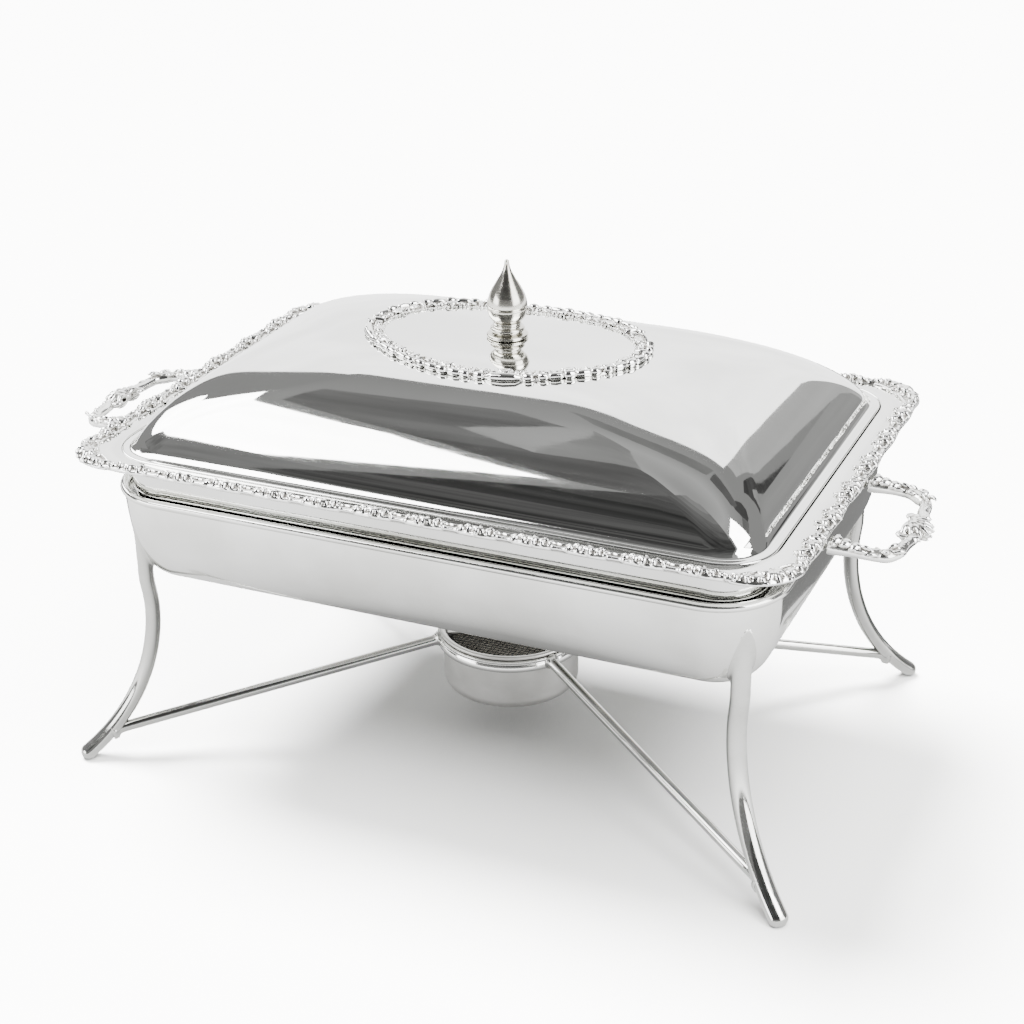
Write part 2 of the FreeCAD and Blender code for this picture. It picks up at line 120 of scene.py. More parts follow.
def add_node(tree, kind, **values):
    """A shader node, with its inputs set by name."""
    node = tree.nodes.new("ShaderNode" + kind)
    for name, value in values.items():
        node.inputs[name].default_value = value
    return node


def add_noise(tree, scale, detail=4.0, stretch=(1, 1, 1), roughness=0.5):
    """Object-space noise, in lumps per metre, stretched along an axis by a small factor."""
    where = add_node(tree, "TexCoord")
    mapping = add_node(tree, "Mapping", Scale=stretch)
    lumps = add_node(tree, "TexNoise", Scale=scale, Detail=detail, Roughness=roughness)
    tree.links.new(where.outputs["Object"], mapping.inputs["Vector"])
    tree.links.new(mapping.outputs["Vector"], lumps.inputs["Vector"])
    return lumps.outputs["Fac"]


def add_ramp(tree, source, stops, target=None):
    """Colour ramp over a source, from (position, grey or colour), sent to a target if there is one."""
    ramp = add_node(tree, "ValToRGB")
    elements = ramp.color_ramp.elements
    while len(elements) < len(stops):
        elements.new(0.5)
    for element, (at, value) in zip(elements, stops):
        element.position = at
        element.color = (*value, 1.0) if isinstance(value, tuple) else (value, value, value, 1.0)
    tree.links.new(source, ramp.inputs["Fac"])
    if target is not None:
        tree.links.new(ramp.outputs["Color"], target)
    return ramp.outputs["Color"]


def add_bump(tree, shader, layers):
    """Chains bump layers: (height source, strength, depth in metres)."""
    normal = None
    for height, strength, depth in layers:
        bump = add_node(tree, "Bump", Strength=strength, Distance=depth)
        tree.links.new(height, bump.inputs["Height"])
        if normal is not None:
            tree.links.new(normal, bump.inputs["Normal"])
        normal = bump.outputs["Normal"]
    tree.links.new(normal, shader.inputs["Normal"])


def add_crease_shade_and_tarnish(tree, colour, depth, darkest=0.16):
    """Darkens a colour where ambient occlusion finds creases and overhangs: painted shade, also standing for
    tarnish that a polishing cloth doesn't reach; depth is in metres.
    """
    crease = add_node(tree, "AmbientOcclusion", Distance=depth)
    crease.samples = 8
    mix = add_node(tree, "Mix")
    mix.data_type = "RGBA"
    mix.blend_type = "MULTIPLY"
    mix.inputs["Factor"].default_value = 1.0
    shade = add_ramp(tree, crease.outputs["AO"], [(0.12, darkest), (0.5, 1.0)])
    tree.links.new(colour, mix.inputs["A"])
    tree.links.new(shade, mix.inputs["B"])
    return mix.outputs["Result"]


def new_metal(name):
    """The same for a bare metal."""
    material, tree, shader = new_material(name)
    shader.inputs["Metallic"].default_value = 1.0
    return material, tree, shader


def polished_silver(name, bright, dull, low_rough, high_rough,
                    scratch=(6, 60, 60), dents=0.00002, lines=0.00001):
    """Mirror-polished plate: faint cloudy tarnish, painted shade and tarnish in the creases, fine polishing
    lines and a little orange peel.
    """
    material, tree, shader = new_metal(name)
    cloud = add_noise(tree, 14, 5, roughness=0.6)
    # Painted shade: ambient occlusion darkens the colour in creases and under overhangs, standing for tarnish
    # there too.
    colour = add_crease_shade_and_tarnish(tree, add_ramp(tree, cloud, [(0.38, dull), (0.62, bright)]), CREASE_SHADE_AND_TARNISH_REACH)
    tree.links.new(colour, shader.inputs["Base Color"])
    rubbed = add_noise(tree, 9, 6, stretch=scratch, roughness=0.7)
    add_ramp(tree, rubbed, [(0.35, high_rough), (0.62, low_rough)], shader.inputs["Roughness"])
    hairs = add_noise(tree, 18, 3, stretch=scratch)
    peel = add_noise(tree, 16, 2)
    add_bump(tree, shader, [(peel, 0.5, dents), (hairs, 0.25, lines)])
    return material


def cast_silver(name):
    """Cast ornament: bright rubbed high points, darker and rougher in the hollows."""
    material, tree, shader = new_metal(name)
    relief = add_node(tree, "Attribute")
    relief.attribute_name = "relief"
    hollow = relief.outputs["Fac"]
    colours = [(0.15, (0.20, 0.19, 0.175)), (0.42, (0.62, 0.61, 0.58)), (0.6, (0.93, 0.932, 0.91))]
    add_ramp(tree, hollow, colours, shader.inputs["Base Color"])
    add_ramp(tree, hollow, [(0.2, 0.42), (0.6, 0.12)], shader.inputs["Roughness"])
    add_bump(tree, shader, [(add_noise(tree, 900, 3), 0.12, 0.00006)])
    return material


def spun_steel(name, bright, dull, low_rough, high_rough, rings_deep=0.00003):
    """Satin metal turned on a lathe: fine rings about the vertical axis."""
    material, tree, shader = new_metal(name)
    cloud = add_noise(tree, 45, 4)
    add_ramp(tree, cloud, [(0.35, dull), (0.65, bright)], shader.inputs["Base Color"])
    rings = add_noise(tree, 40, 4, stretch=(0.6, 0.6, 40), roughness=0.7)
    add_ramp(tree, rings, [(0.35, high_rough), (0.65, low_rough)], shader.inputs["Roughness"])
    add_bump(tree, shader, [(rings, 0.3, rings_deep)])
    return material


def wadding_material():
    """Matt fibres."""
    material, tree, shader = new_material("wadding")
    fibres = add_noise(tree, 700, 8, roughness=0.75)
    colours = [(0.3, (0.30, 0.28, 0.24)), (0.7, (0.72, 0.69, 0.62))]
    add_ramp(tree, fibres, colours, shader.inputs["Base Color"])
    shader.inputs["Roughness"].default_value = 0.95
    add_bump(tree, shader, [(fibres, 0.9, 0.001)])
    return material


# How far the painted crease shade (and tarnish) reaches, in metres.
CREASE_SHADE_AND_TARNISH_REACH = 0.005    # metres
SILVER_STAND = polished_silver(
    "silver_stand", (0.905, 0.91, 0.885), (0.78, 0.78, 0.75), 0.08, 0.16, scratch=(3, 3, 30), dents=0.00012)
# Darker copy of the stand's silver for the legs and rods: painted shade, standing in for the darker
# surroundings they reflect.
SHADED_SILVER_LEG = polished_silver(
    "silver_leg_shaded", (0.74, 0.745, 0.72), (0.58, 0.58, 0.555), 0.08, 0.18, scratch=(3, 3, 30), dents=0.00006)
SILVER_PAN = polished_silver("silver_pan", (0.905, 0.91, 0.89), (0.84, 0.84, 0.815), 0.06, 0.14)
SILVER_COVER = polished_silver(
    "silver_cover", (0.92, 0.925, 0.905), (0.88, 0.883, 0.86), 0.02, 0.06, dents=0.00016, lines=0.000004)
SILVER_CAST = cast_silver("silver_cast")
NICKEL = spun_steel("nickel_finial", (0.66, 0.645, 0.59), (0.52, 0.505, 0.455), 0.15, 0.24, 0.000003)
FASTENER = spun_steel("fastener", (0.60, 0.60, 0.60), (0.48, 0.48, 0.48), 0.28, 0.4)
BURNER_STEEL = spun_steel("burner_steel", (0.72, 0.715, 0.69), (0.62, 0.615, 0.59), 0.38, 0.5, 0.00001)
# Near-black steel for the screen's frame and gauze: painted shade for the hollow of the cup under the pan.
SHADED_SCREEN_STEEL = spun_steel("screen_steel", (0.07, 0.07, 0.067), (0.028, 0.028, 0.027), 0.35, 0.55)
WADDING = wadding_material()


# ---- mesh helpers --------------------------------------------------------------------
def mesh_object(name, verts, faces, material, smooth=True):
    """A mesh object from points in millimetres."""
    mesh = bpy.data.meshes.new(name)
    mesh.from_pydata([tuple(c * MM for c in v) for v in verts], [], faces)
    mesh.validate()
    mesh.materials.append(material)
    obj = bpy.data.objects.new(name, mesh)
    bpy.context.collection.objects.link(obj)
    outward(obj)
    if smooth:
        mesh.shade_smooth()
    return obj


def outward(obj):
    """Merges points that coincide and turns the faces outwards."""
    work = bmesh.new()
    work.from_mesh(obj.data)
    bmesh.ops.remove_doubles(work, verts=work.verts, dist=0.00001)
    bmesh.ops.recalc_face_normals(work, faces=work.faces)
    work.to_mesh(obj.data)
    work.free()


def rounded_loop(half_x, half_y, radius, z, power=2.0):
    """Points of one level rounded rectangle, anticlockwise from the right side."""
    points = []
    radius = max(radius, 0.02)
    for quadrant in range(4):
        turn = pi / 2 * quadrant
        wide, deep = (half_x, half_y) if quadrant % 2 == 0 else (half_y, half_x)
        local = []
        for step in range(SIDE_STEPS):
            local.append((wide, (radius - deep) + 2 * (deep - radius) * step / SIDE_STEPS))
        for step in range(CORNER_STEPS):
            angle = pi / 2 * step / CORNER_STEPS
            across = abs(cos(angle)) ** (2 / power)
            along = abs(sin(angle)) ** (2 / power)
            local.append((wide - radius + radius * across, deep - radius + radius * along))
        for x, y in local:
            points.append((x * cos(turn) - y * sin(turn), x * sin(turn) + y * cos(turn), z))
    return points


def offset_loops(plan, profile, power=2.0):
    """Rounded rectangles offset outwards from a plan (half sizes, corner radius), from (offset, height)."""
    half_x, half_y, radius = plan
    return [rounded_loop(half_x + d, half_y + d, radius + d, z, power) for d, z in profile]


def loft(loops, close_start=True, join_ends=False):
    """Points and faces between equal loops; flat faces close the ends, or the ends are joined."""
    count = len(loops[0])
    verts = [p for loop in loops for p in loop]
    faces = []
    spans = len(loops) if join_ends else len(loops) - 1
    for row in range(spans):
        here = row * count
        there = ((row + 1) % len(loops)) * count
        for k in range(count):
            after = (k + 1) % count
            faces.append((here + k, here + after, there + after, there + k))
    if not join_ends:
        if close_start:
            faces.append(tuple(range(count)))
        faces.append(tuple(range(len(verts) - count, len(verts))))
    return verts, faces


def circle(radius, z, sides):
    """Level circle of points about the Z axis."""
    turns = [2 * pi * k / sides for k in range(sides)]
    return [(radius * cos(turn), radius * sin(turn), z) for turn in turns]


def lathe(profile, sides=96):
    """A closed solid of revolution about Z from (radius, height) points."""
    return loft([circle(max(radius, 0.003), z, sides) for radius, z in profile])


def hollow_lathe(profile, sides=128):
    """The same for a closed profile that leaves a hole in the middle."""
    return loft([circle(radius, z, sides) for radius, z in profile], join_ends=True)


def arc(centre, radius, start, end, steps=8):
    """Points of an arc in the profile plane; angles in degrees."""
    turns = [radians(start + (end - start) * k / steps) for k in range(steps + 1)]
    return [(centre[0] + radius * cos(t), centre[1] + radius * sin(t)) for t in turns]


def quarter(top, foot, steps=22):
    """Quarter ellipse, upright at its top and level at its foot, listed from the top."""
    run, rise = top[0] - foot[0], top[1] - foot[1]
    turns = [pi / 2 * k / steps for k in range(steps + 1)]
    return [(top[0] - run * (1 - cos(t)), top[1] - rise * sin(t)) for t in turns]


def place(obj, body, slot, *nodes):
    """Says which body a piece moves with and the CAD nodes it stands for, which it hides; the material slot
    is not used.
    """
    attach(obj, body)
    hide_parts(*nodes)
    return obj


def add_piece(name, shape, material, body, slot, *nodes, smooth=True):
    """A piece from its (points, faces)."""
    return place(mesh_object(name, *shape, material, smooth=smooth), body, slot, *nodes)


# ---- pans ----------------------------------------------------------------------------
def make_water_pan():
    """Deep basin with an inner ledge."""
    foot = (-WATER_WALL_IN, WATER_LOW.z)
    under = LEDGE_Z - SHEET
    profile = quarter((0.0, under), foot)[::-1]
    profile += [(0.0, LEDGE_Z - 0.3), (-0.3, LEDGE_Z), (-LEDGE_W + 0.4, LEDGE_Z)]
    profile += arc((-LEDGE_W + 0.4, LEDGE_Z - 0.5), 0.5, 90, 270, 6)
    profile += [(-SHEET - 0.8, under), (-SHEET, under - 0.8)]
    profile += quarter((-SHEET, under - 1.0), (foot[0], WATER_LOW.z + SHEET))
    shape = loft(offset_loops(WATER_PLAN, profile))
    add_piece("water_pan_shell", shape, SILVER_STAND, "stand", "silver_stand", "water_pan")


def make_bead():
    """Rolled wire round the basin's edge."""
    profile = arc((0.0, BEAD_Z), BEAD_R, 0, 345, 23)
    shape = loft(offset_loops(WATER_PLAN, profile), join_ends=True)
    add_piece("rolled_bead", shape, SILVER_STAND, "stand", "silver_stand", "water_pan_rim")


def make_food_pan():
    """Flange, step for the cover, wall with a rounded shoulder, and the well below it."""
    top = FLANGE_TOP
    step = top - STEP_DEPTH
    low = LEDGE_Z + 0.3
    inner_r = SHOULDER_R - SHEET
    out = -2.0
    foot = (-WELL_IN - WELL_CURVE, FLOOR_Z)
    flange = [(0.0, top - SHEET + 0.2), (0.0, top - 0.3), (-0.4, top)]
    loops = offset_loops(FLANGE_PLAN, flange)
    inside = [(STEP_OUT + 0.9, top), (STEP_OUT + 0.35, top - 0.15), (STEP_OUT, top - 0.8)]
    inside += [(STEP_OUT, step + 0.5), (STEP_OUT - 0.5, step), (-SHEET + 0.8, step), (-SHEET, step - 0.8)]
    inside += [(out - SHEET, low + SHOULDER_R)]
    inside += arc((out - SHOULDER_R, low + SHOULDER_R), inner_r, 0, -90, 6)[1:]
    inside += [(-WELL_IN - SHEET + 0.6, low + SHEET)]
    inside += quarter((-WELL_IN - SHEET, low + SHEET - 0.6), (foot[0], FLOOR_Z + SHEET))
    outside = quarter((-WELL_IN, low), foot)[::-1]
    outside += arc((out - SHOULDER_R, low + SHOULDER_R), SHOULDER_R, -90, 0, 12)
    outside += [(out * k, low + SHOULDER_R + (step - SHEET - low - SHOULDER_R) * (1 - k))
                for k in (0.75, 0.5, 0.25)]
    outside += [(0.0, step - SHEET - 1.0), (0.5, step - SHEET - 0.2), (1.3, step - SHEET)]
    outside += [(STEP_OUT + 0.4, step - SHEET), (STEP_OUT + SHEET, step - SHEET + 0.6)]
    outside += [(STEP_OUT + SHEET, top - SHEET - 0.6), (STEP_OUT + SHEET + 0.6, top - SHEET)]
    loops += offset_loops(WALL_PLAN, inside + outside)
    loops += [rounded_loop(FLANGE_X - 0.3, FLANGE_Y - 0.3, FLANGE_R, top - SHEET)]
    split = len(flange) + len(inside)
    verts, faces = loft(loops, join_ends=True)
    count = len(loops[0])
    bridge = (split - 1) * count
    faces = [f for f in faces if not (bridge <= f[0] < bridge + count)]
    faces.append(tuple(range(bridge, bridge + count)))
    faces.append(tuple(range(bridge + count, bridge + 2 * count)))
    add_piece("food_pan_shell", (verts, faces), SILVER_PAN, "food_pan_body", "silver_pan", "food_pan")


# ---- cover ---------------------------------------------------------------------------
def dome_level(beta, inset=0.0):
    """Half sizes, corner radius and height of the dome's level curve at a share of its depth."""
    level = (1 - beta ** DOME_SIDE_POWERS[0]) ** (1 / DOME_SIDE_POWERS[1])
    half_y = (DOME_Y - inset) * beta
    half_x = (DOME_X - inset) * (1 - level ** DOME_END_POWERS[1]) ** (1 / DOME_END_POWERS[0])
    full = DOME_R - inset + DOME_R_GROWTH * level ** 2
    most = 0.98 * half_y
    radius = (full ** -8 + most ** -8) ** (-1 / 8)
    return half_x, half_y, radius, DOME_FOOT + (DOME_RISE - inset) * level


def dome_loops(inset):
    """The dome's level curves, from its foot nearly to the crown."""
    betas = [1 - 0.0015 * k * k for k in range(1, 12)]
    betas += list(np.linspace(betas[-1], 0.06, 64)[1:])
    betas += [0.045, 0.03, 0.018, 0.008]
    return [rounded_loop(*dome_level(b, inset), power=DOME_CORNER_POWER) for b in betas]


def make_cover_shell():
    """Domed sheet: hemmed lip, small cove, dome, and the hollow inside."""
    edge = LIP_THICK / 2
    rim = arc((LIP_OUT - edge, LIP_Z + edge), edge, -90, 90, 10)
    cove = ((3.2, 0.0), (2.3, 0.06), (1.5, 0.3), (0.8, 0.75), (0.25, 1.4))
    rim += [(d, DOME_FOOT + z) for d, z in cove]
    loops = offset_loops(DOME_PLAN, rim, DOME_CORNER_POWER)
    loops += [loop for loop in dome_loops(0.0) if loop[0][2] > DOME_FOOT + 2.0]
    loops += [loop for loop in dome_loops(SHEET)[::-1] if loop[0][2] > DOME_FOOT + 1.0]
    hem = [(-SHEET, DOME_FOOT), (-SHEET, LIP_Z + 0.3), (-SHEET + 0.3, LIP_Z)]
    loops += offset_loops(DOME_PLAN, hem, DOME_CORNER_POWER)
    shape = loft(loops, join_ends=True)
    return add_piece("cover_dome", shape, SILVER_COVER, "cover", "silver_cover", "cover_shell")


# ---- legs, rods, burner ring ----------------------------------------------------------
LEG_TOP = (182.5, 117.3)         # where a leg meets the pan, in plan
LEG_DIR = (0.776, 0.631)         # the way it splays
LEG_WIDE, LEG_DEEP = 5.75, 4.5   # half sizes of the oval bar
LEG_BEND_R = 115.0               # radius of the outward bend
LEG_BEND_Z = 96.0                # height where the bend starts
LEG_SET_IN = 2.4                 # how far the bar is set in there
LEG_END_Z = 3.9                  # height of the bar's middle where its domed end starts
CORNERS = {"front_left": (-1, -1), "front_right": (1, -1), "back_left": (-1, 1), "back_right": (1, 1)}

ROD_R = 3.3
ROD_FOOT = Vector((205.8, 136.2, 16.0))   # its lower end, inside the leg
ROD_TOP_Z = 58.2                          # height of its upper end, inside the band
BAND_LOW, BAND_HIGH = node_box("burner_ring")
BAND_R, BAND_T = BAND_HIGH.x, 2.2
CUP_LOW, CUP_HIGH = node_box("burner_cup")
CUP_R, CUP_RIM_R, CUP_WALL = 41.5, CUP_HIGH.x, 0.9
WADDING_TOP = node_box("burner_wadding")[1].z
SCREEN_LOW, SCREEN_HIGH = node_box("screen_frame")
SCREEN_R = SCREEN_HIGH.x
GAUZE_Z = node_box("screen_gauze")[0].z
SCREEN_BAR_TURN = 28.0


def pan_underside(x, y):
    """Height of the water pan's outer skin over a plan point inside its outline."""
    flat_x, flat_y = WATER_X - WATER_R, WATER_Y - WATER_R
    over_x, over_y = max(abs(x) - flat_x, 0.0), max(abs(y) - flat_y, 0.0)
    outside = hypot(over_x, over_y) - WATER_R
    share = min(max(1 + outside / WATER_WALL_IN, 0.0), 1.0)
    return LEDGE_Z - SHEET - (LEDGE_Z - SHEET - WATER_LOW.z) * sqrt(1 - share * share)


def ring_of(centre, first, second, a, b, sides=32):
    """Oval ring of points round a centre, with half sizes a and b along two unit vectors."""
    turns = [2 * pi * k / sides for k in range(sides)]
    return [centre + first * (a * cos(turn)) + second * (b * sin(turn)) for turn in turns]


def make_leg(name, sx, sy):
    """Oval bar with a slight S, a solder fillet under the pan and a domed foot cut flat."""
    splay = Vector((sx * LEG_DIR[0], sy * LEG_DIR[1], 0.0))
    across = Vector((-splay.y, splay.x, 0.0))
    base = Vector((sx * LEG_TOP[0], sy * LEG_TOP[1], 0.0))

    def section(centre, level, share=1.0):
        return ring_of(centre, across, level, LEG_WIDE * share, LEG_DEEP * share)

    loops = []
    for share, drop in ((1.42, -0.5), (1.36, 0.1), (1.2, 0.9), (1.09, 2.0), (1.03, 3.6), (1.0, 6.0)):
        loop = section(base - splay * LEG_SET_IN * 0.2, splay, share)
        loops.append([Vector((p.x, p.y, pan_underside(p.x, p.y) - drop)) for p in loop])
    lowest = min(p.z for p in loops[-1])
    for step in range(1, 9):
        height = lowest - (lowest - LEG_BEND_Z) * step / 8
        away = LEG_SET_IN * (0.2 + 0.8 * sin(pi / 2 * step / 8) ** 2)
        loops.append(section(base - splay * away + UP * height, splay))
    last = asin((LEG_BEND_Z - LEG_END_Z) / LEG_BEND_R)
    for step in range(1, 41):
        turn = last * step / 40
        away = LEG_BEND_R * (1 - cos(turn)) - LEG_SET_IN
        centre = base + splay * away + UP * (LEG_BEND_Z - LEG_BEND_R * sin(turn))
        level = splay * cos(turn) + UP * sin(turn)
        loops.append(section(centre, level))
    heading = splay * sin(last) - UP * cos(last)
    for step in range(1, 9):
        turn = radians(88) * step / 8
        loops.append(section(centre + heading * LEG_DEEP * sin(turn), level, cos(turn)))
    loops = [[Vector((p.x, p.y, max(p.z, 0.0))) for p in loop] for loop in loops]
    add_piece(f"leg_bar_{name}", loft(loops), SHADED_SILVER_LEG, "stand", "silver_stand", f"leg_{name}")


def make_rod(name, sx, sy):
    """Rod from the leg to the burner ring, with a little solder at both ends."""
    foot = Vector((sx * ROD_FOOT.x, sy * ROD_FOOT.y, ROD_FOOT.z))
    plan = Vector((foot.x, foot.y, 0)).normalized()
    top = plan * (BAND_R - BAND_T / 2) + UP * ROD_TOP_Z
    heading = (top - foot).normalized()
    side = heading.cross(UP).normalized()
    upper = side.cross(heading)
    length = (top - foot).length
    ends = [(2.0, 1.9), (4.6, 1.75), (5.4, 1.35), (6.6, 1.12), (8.5, 1.0)]
    stations = ends + [(length * k / 10, 1.0) for k in range(1, 10)]
    stations += [(length - 4.5, 1.0), (length - 3.0, 1.08), (length - 2.0, 1.25)]
    stations += [(length - 1.3, 1.5), (length, 1.5)]
    loops = [ring_of(foot + heading * at, side, upper, ROD_R * share, ROD_R * share, 20)
             for at, share in stations]
    add_piece(f"rod_{name}", loft(loops), SHADED_SILVER_LEG, "stand", "silver_stand", f"stretcher_{name}")


def make_band():
    """Band that the burner hangs in."""
    low, high = BAND_LOW.z, BAND_HIGH.z
    inner = BAND_R - BAND_T
    profile = [(inner, low + 0.3), (inner + 0.3, low), (BAND_R - 0.5, low), (BAND_R - 0.1, low + 0.3)]
    profile += [(BAND_R, low + 0.8), (BAND_R, high - 2.6), (BAND_R - 0.5, high - 2.3)]
    profile += [(BAND_R - 0.25, high - 1.6)]
    profile += arc((BAND_R - 1.1, high - 1.1), 1.1, 20, 150, 8) + [(inner, high - 1.6)]
    add_piece("burner_seat_band", hollow_lathe(profile), SILVER_STAND, "stand", "silver_stand", "burner_ring")


# ---- burner --------------------------------------------------------------------------
def make_cup():
    """Spun cup with a plain wall and a rolled rim."""
    low, high = CUP_LOW.z, CUP_HIGH.z
    inner = CUP_R - CUP_WALL
    rim_low = BAND_HIGH.z + 0.3
    profile = [(0.0, low + 0.5), (26.0, low + 0.5), (28.0, low)]
    profile += arc((CUP_R - 6.0, low + 6.0), 6.0, -90, 0, 10)
    profile += [(CUP_R, low + 7.0), (CUP_R, rim_low - 1.8)]
    profile += [(CUP_R, rim_low - 1.2), (CUP_R + 0.5, rim_low - 0.1), (CUP_R + 1.2, rim_low)]
    profile += arc((CUP_RIM_R - 1.25, high - 1.25), 1.25, -60, 100, 10)
    profile += [(inner + 0.8, high - 0.35), (inner, high - 1.3), (inner, low + 6.5)]
    profile += arc((inner - 5.1, low + 6.0), 5.1, 0, -90, 8) + [(0.0, low + CUP_WALL)]
    add_piece("spun_cup", lathe(profile, 128), BURNER_STEEL, "burner", "burner_steel", "burner_cup")


def make_wadding():
    """Loose packing: a lumpy disc with a felt of short fibres on it."""
    inner = CUP_R - CUP_WALL - 0.25
    floor = CUP_LOW.z + CUP_WALL + 0.1
    sides, rows, fibres = 96, 26, 220
    outline = [(0.5, floor), (inner - 6.0, floor), (inner, floor + 6.0), (inner, WADDING_TOP - 3.5)]
    loops = [circle(radius, z, sides) for radius, z in outline]
    for row in range(rows + 1):
        radius = (inner - 0.6) * (1 - row / rows) + 0.4
        edge = -1.6 * max(0.0, radius / inner - 0.88) / 0.12
        loop = []
        for x, y, _ in circle(radius, 0.0, sides):
            broad = noise.noise(Vector((x * 0.11, y * 0.11, 3.0)))
            fine = noise.noise(Vector((x * 0.4, y * 0.4, 7.0)))
            loop.append((x, y, WADDING_TOP - 1.2 + 1.0 * (broad + 0.5 * fine) + edge))
        loops.append(loop)
    fluff = Pile()
    fluff.add(*loft(loops))
    rng = random.Random(5)
    for _ in range(fibres):
        reach, turn = (inner - 7) * sqrt(rng.random()), rng.uniform(0, 2 * pi)
        heading, bend = rng.uniform(0, 2 * pi), rng.uniform(-0.35, 0.35)
        x, y = reach * cos(turn), reach * sin(turn)
        line = []
        for step in range(7):
            rise = 1.2 * sin(pi * step / 6) * rng.uniform(0.7, 1.0)
            line.append(Vector((x, y, WADDING_TOP - 1.3 + rise)))
            x += 1.5 * cos(heading)
            y += 1.5 * sin(heading)
            heading += bend
        fluff.tube(line, [0.14] * 7, sides=5)
    add_piece("packed_wadding", fluff.shape(), WADDING, "burner", "wadding", "burner_wadding")


def make_screen():
    """Lift-out screen: turned frame, woven wires and a bar across."""
    base, top = SCREEN_LOW.z, SCREEN_HIGH.z
    profile = [(SCREEN_R - 4.0, base + 0.2), (SCREEN_R - 3.8, base), (SCREEN_R - 0.3, base)]
    profile += [(SCREEN_R, base + 0.3)]
    profile += arc((SCREEN_R - 0.5, top - 0.5), 0.5, 0, 180, 6) + [(SCREEN_R - 1.0, GAUZE_Z + 0.1)]
    profile += [(SCREEN_R - 1.2, GAUZE_Z), (SCREEN_R - 4.0, GAUZE_Z)]
    role = ("burner_screen", "screen_steel")
    add_piece("turned_screen_frame", hollow_lathe(profile), SHADED_SCREEN_STEEL, *role, "screen_frame")
    wires = Pile()
    pitch, reach = 2.6, SCREEN_R - 1.1
    count = int(reach / pitch)
    for along in (0, 1):
        for row in range(-count, count + 1):
            offset = row * pitch
            half = sqrt(reach * reach - offset * offset)
            steps = max(2 * int(half / pitch * 2), 4)
            line = []
            for step in range(steps + 1):
                t = -half + 2 * half * step / steps
                lift = 0.26 * cos(pi * (t / pitch + row + along))
                spot = (t, offset, GAUZE_Z + 0.5 + lift)
                line.append(Vector(spot if along == 0 else (spot[1], spot[0], spot[2])))
            wires.tube(line, [0.24] * len(line), sides=6)
    add_piece("woven_gauze", wires.shape(), SHADED_SCREEN_STEEL, *role, "screen_gauze")
    half = SCREEN_R - 1.25
    turn = Matrix.Rotation(radians(SCREEN_BAR_TURN), 3, "Z")
    outline = [(-1.5, 0.0), (1.5, 0.0), (1.5, 0.9), (1.2, 1.2), (-1.2, 1.2), (-1.5, 0.9)]
    loops = []
    for at in (-half, -half + 0.4, half - 0.4, half):
        tight = 0.75 if abs(at) > half - 0.1 else 1.0
        loops.append([turn @ Vector((at, y * tight, GAUZE_Z + 0.85 + z)) for y, z in outline])
    add_piece("flat_bar", loft(loops), BURNER_STEEL, *role, "screen_bar", smooth=False)


# ---- finial --------------------------------------------------------------------------
COLLAR_LOW, COLLAR_HIGH = node_box("finial_collar")
FLAME_LOW, FLAME_HIGH = node_box("finial_flame")
STUD_R = 2.5


def make_finial():
    """Turned collar and two-part bulb with a soldered seam, bored for the hidden fixing."""
    base, top = COLLAR_LOW.z, COLLAR_HIGH.z
    profile = [(STUD_R, base - 0.4), (10.4, base - 0.4), (10.8, base + 0.3)]
    profile += arc((10.9, base + 1.5), 1.1, -80, 80, 8)
    profile += [(9.4, base + 2.9), (8.3, base + 3.4), (7.9, base + 3.9)]
    profile += arc((8.7, base + 5.3), 1.25, -80, 80, 8)
    profile += [(8.0, base + 6.8), (7.5, base + 7.3), (7.5, base + 7.8), (8.0, base + 8.2)]
    profile += arc((7.4, top - 0.55), 0.6, -40, 90, 5) + [(STUD_R, top)]
    role = ("cover", "nickel_finial")
    add_piece("turned_collar", hollow_lathe(profile), NICKEL, *role, "finial_collar")

    seam = FLAME_LOW.z
    widest = FLAME_HIGH.x
    profile = [(STUD_R, top), (7.0, top), (7.9, top + 0.4), (9.3, top + 1.5), (10.5, top + 3.3)]
    profile += [(11.2, top + 5.4), (widest - 0.1, top + 7.4), (widest, seam - 0.5)]
    profile += [(widest - 0.35, seam - 0.05), (STUD_R, seam - 0.05)]
    add_piece("turned_bulb", hollow_lathe(profile), NICKEL, *role, "finial_bulb")

    tip = FLAME_HIGH.z
    profile = [(0.0, seam), (widest - 0.35, seam), (widest, seam + 0.35)]
    neck = 0.12 * widest
    for step in range(1, 33):
        t = step / 32
        swell = cos(pi / 2 * t) ** 1.75
        profile.append((neck + (widest - neck) * swell, seam + 0.35 + (tip - neck - seam - 0.35) * t))
    profile += arc((0.0, tip - neck), neck, 0, 88, 7)[1:] + [(0.0, tip)]
    add_piece("turned_flame", lathe(profile), NICKEL, *role, "finial_flame")


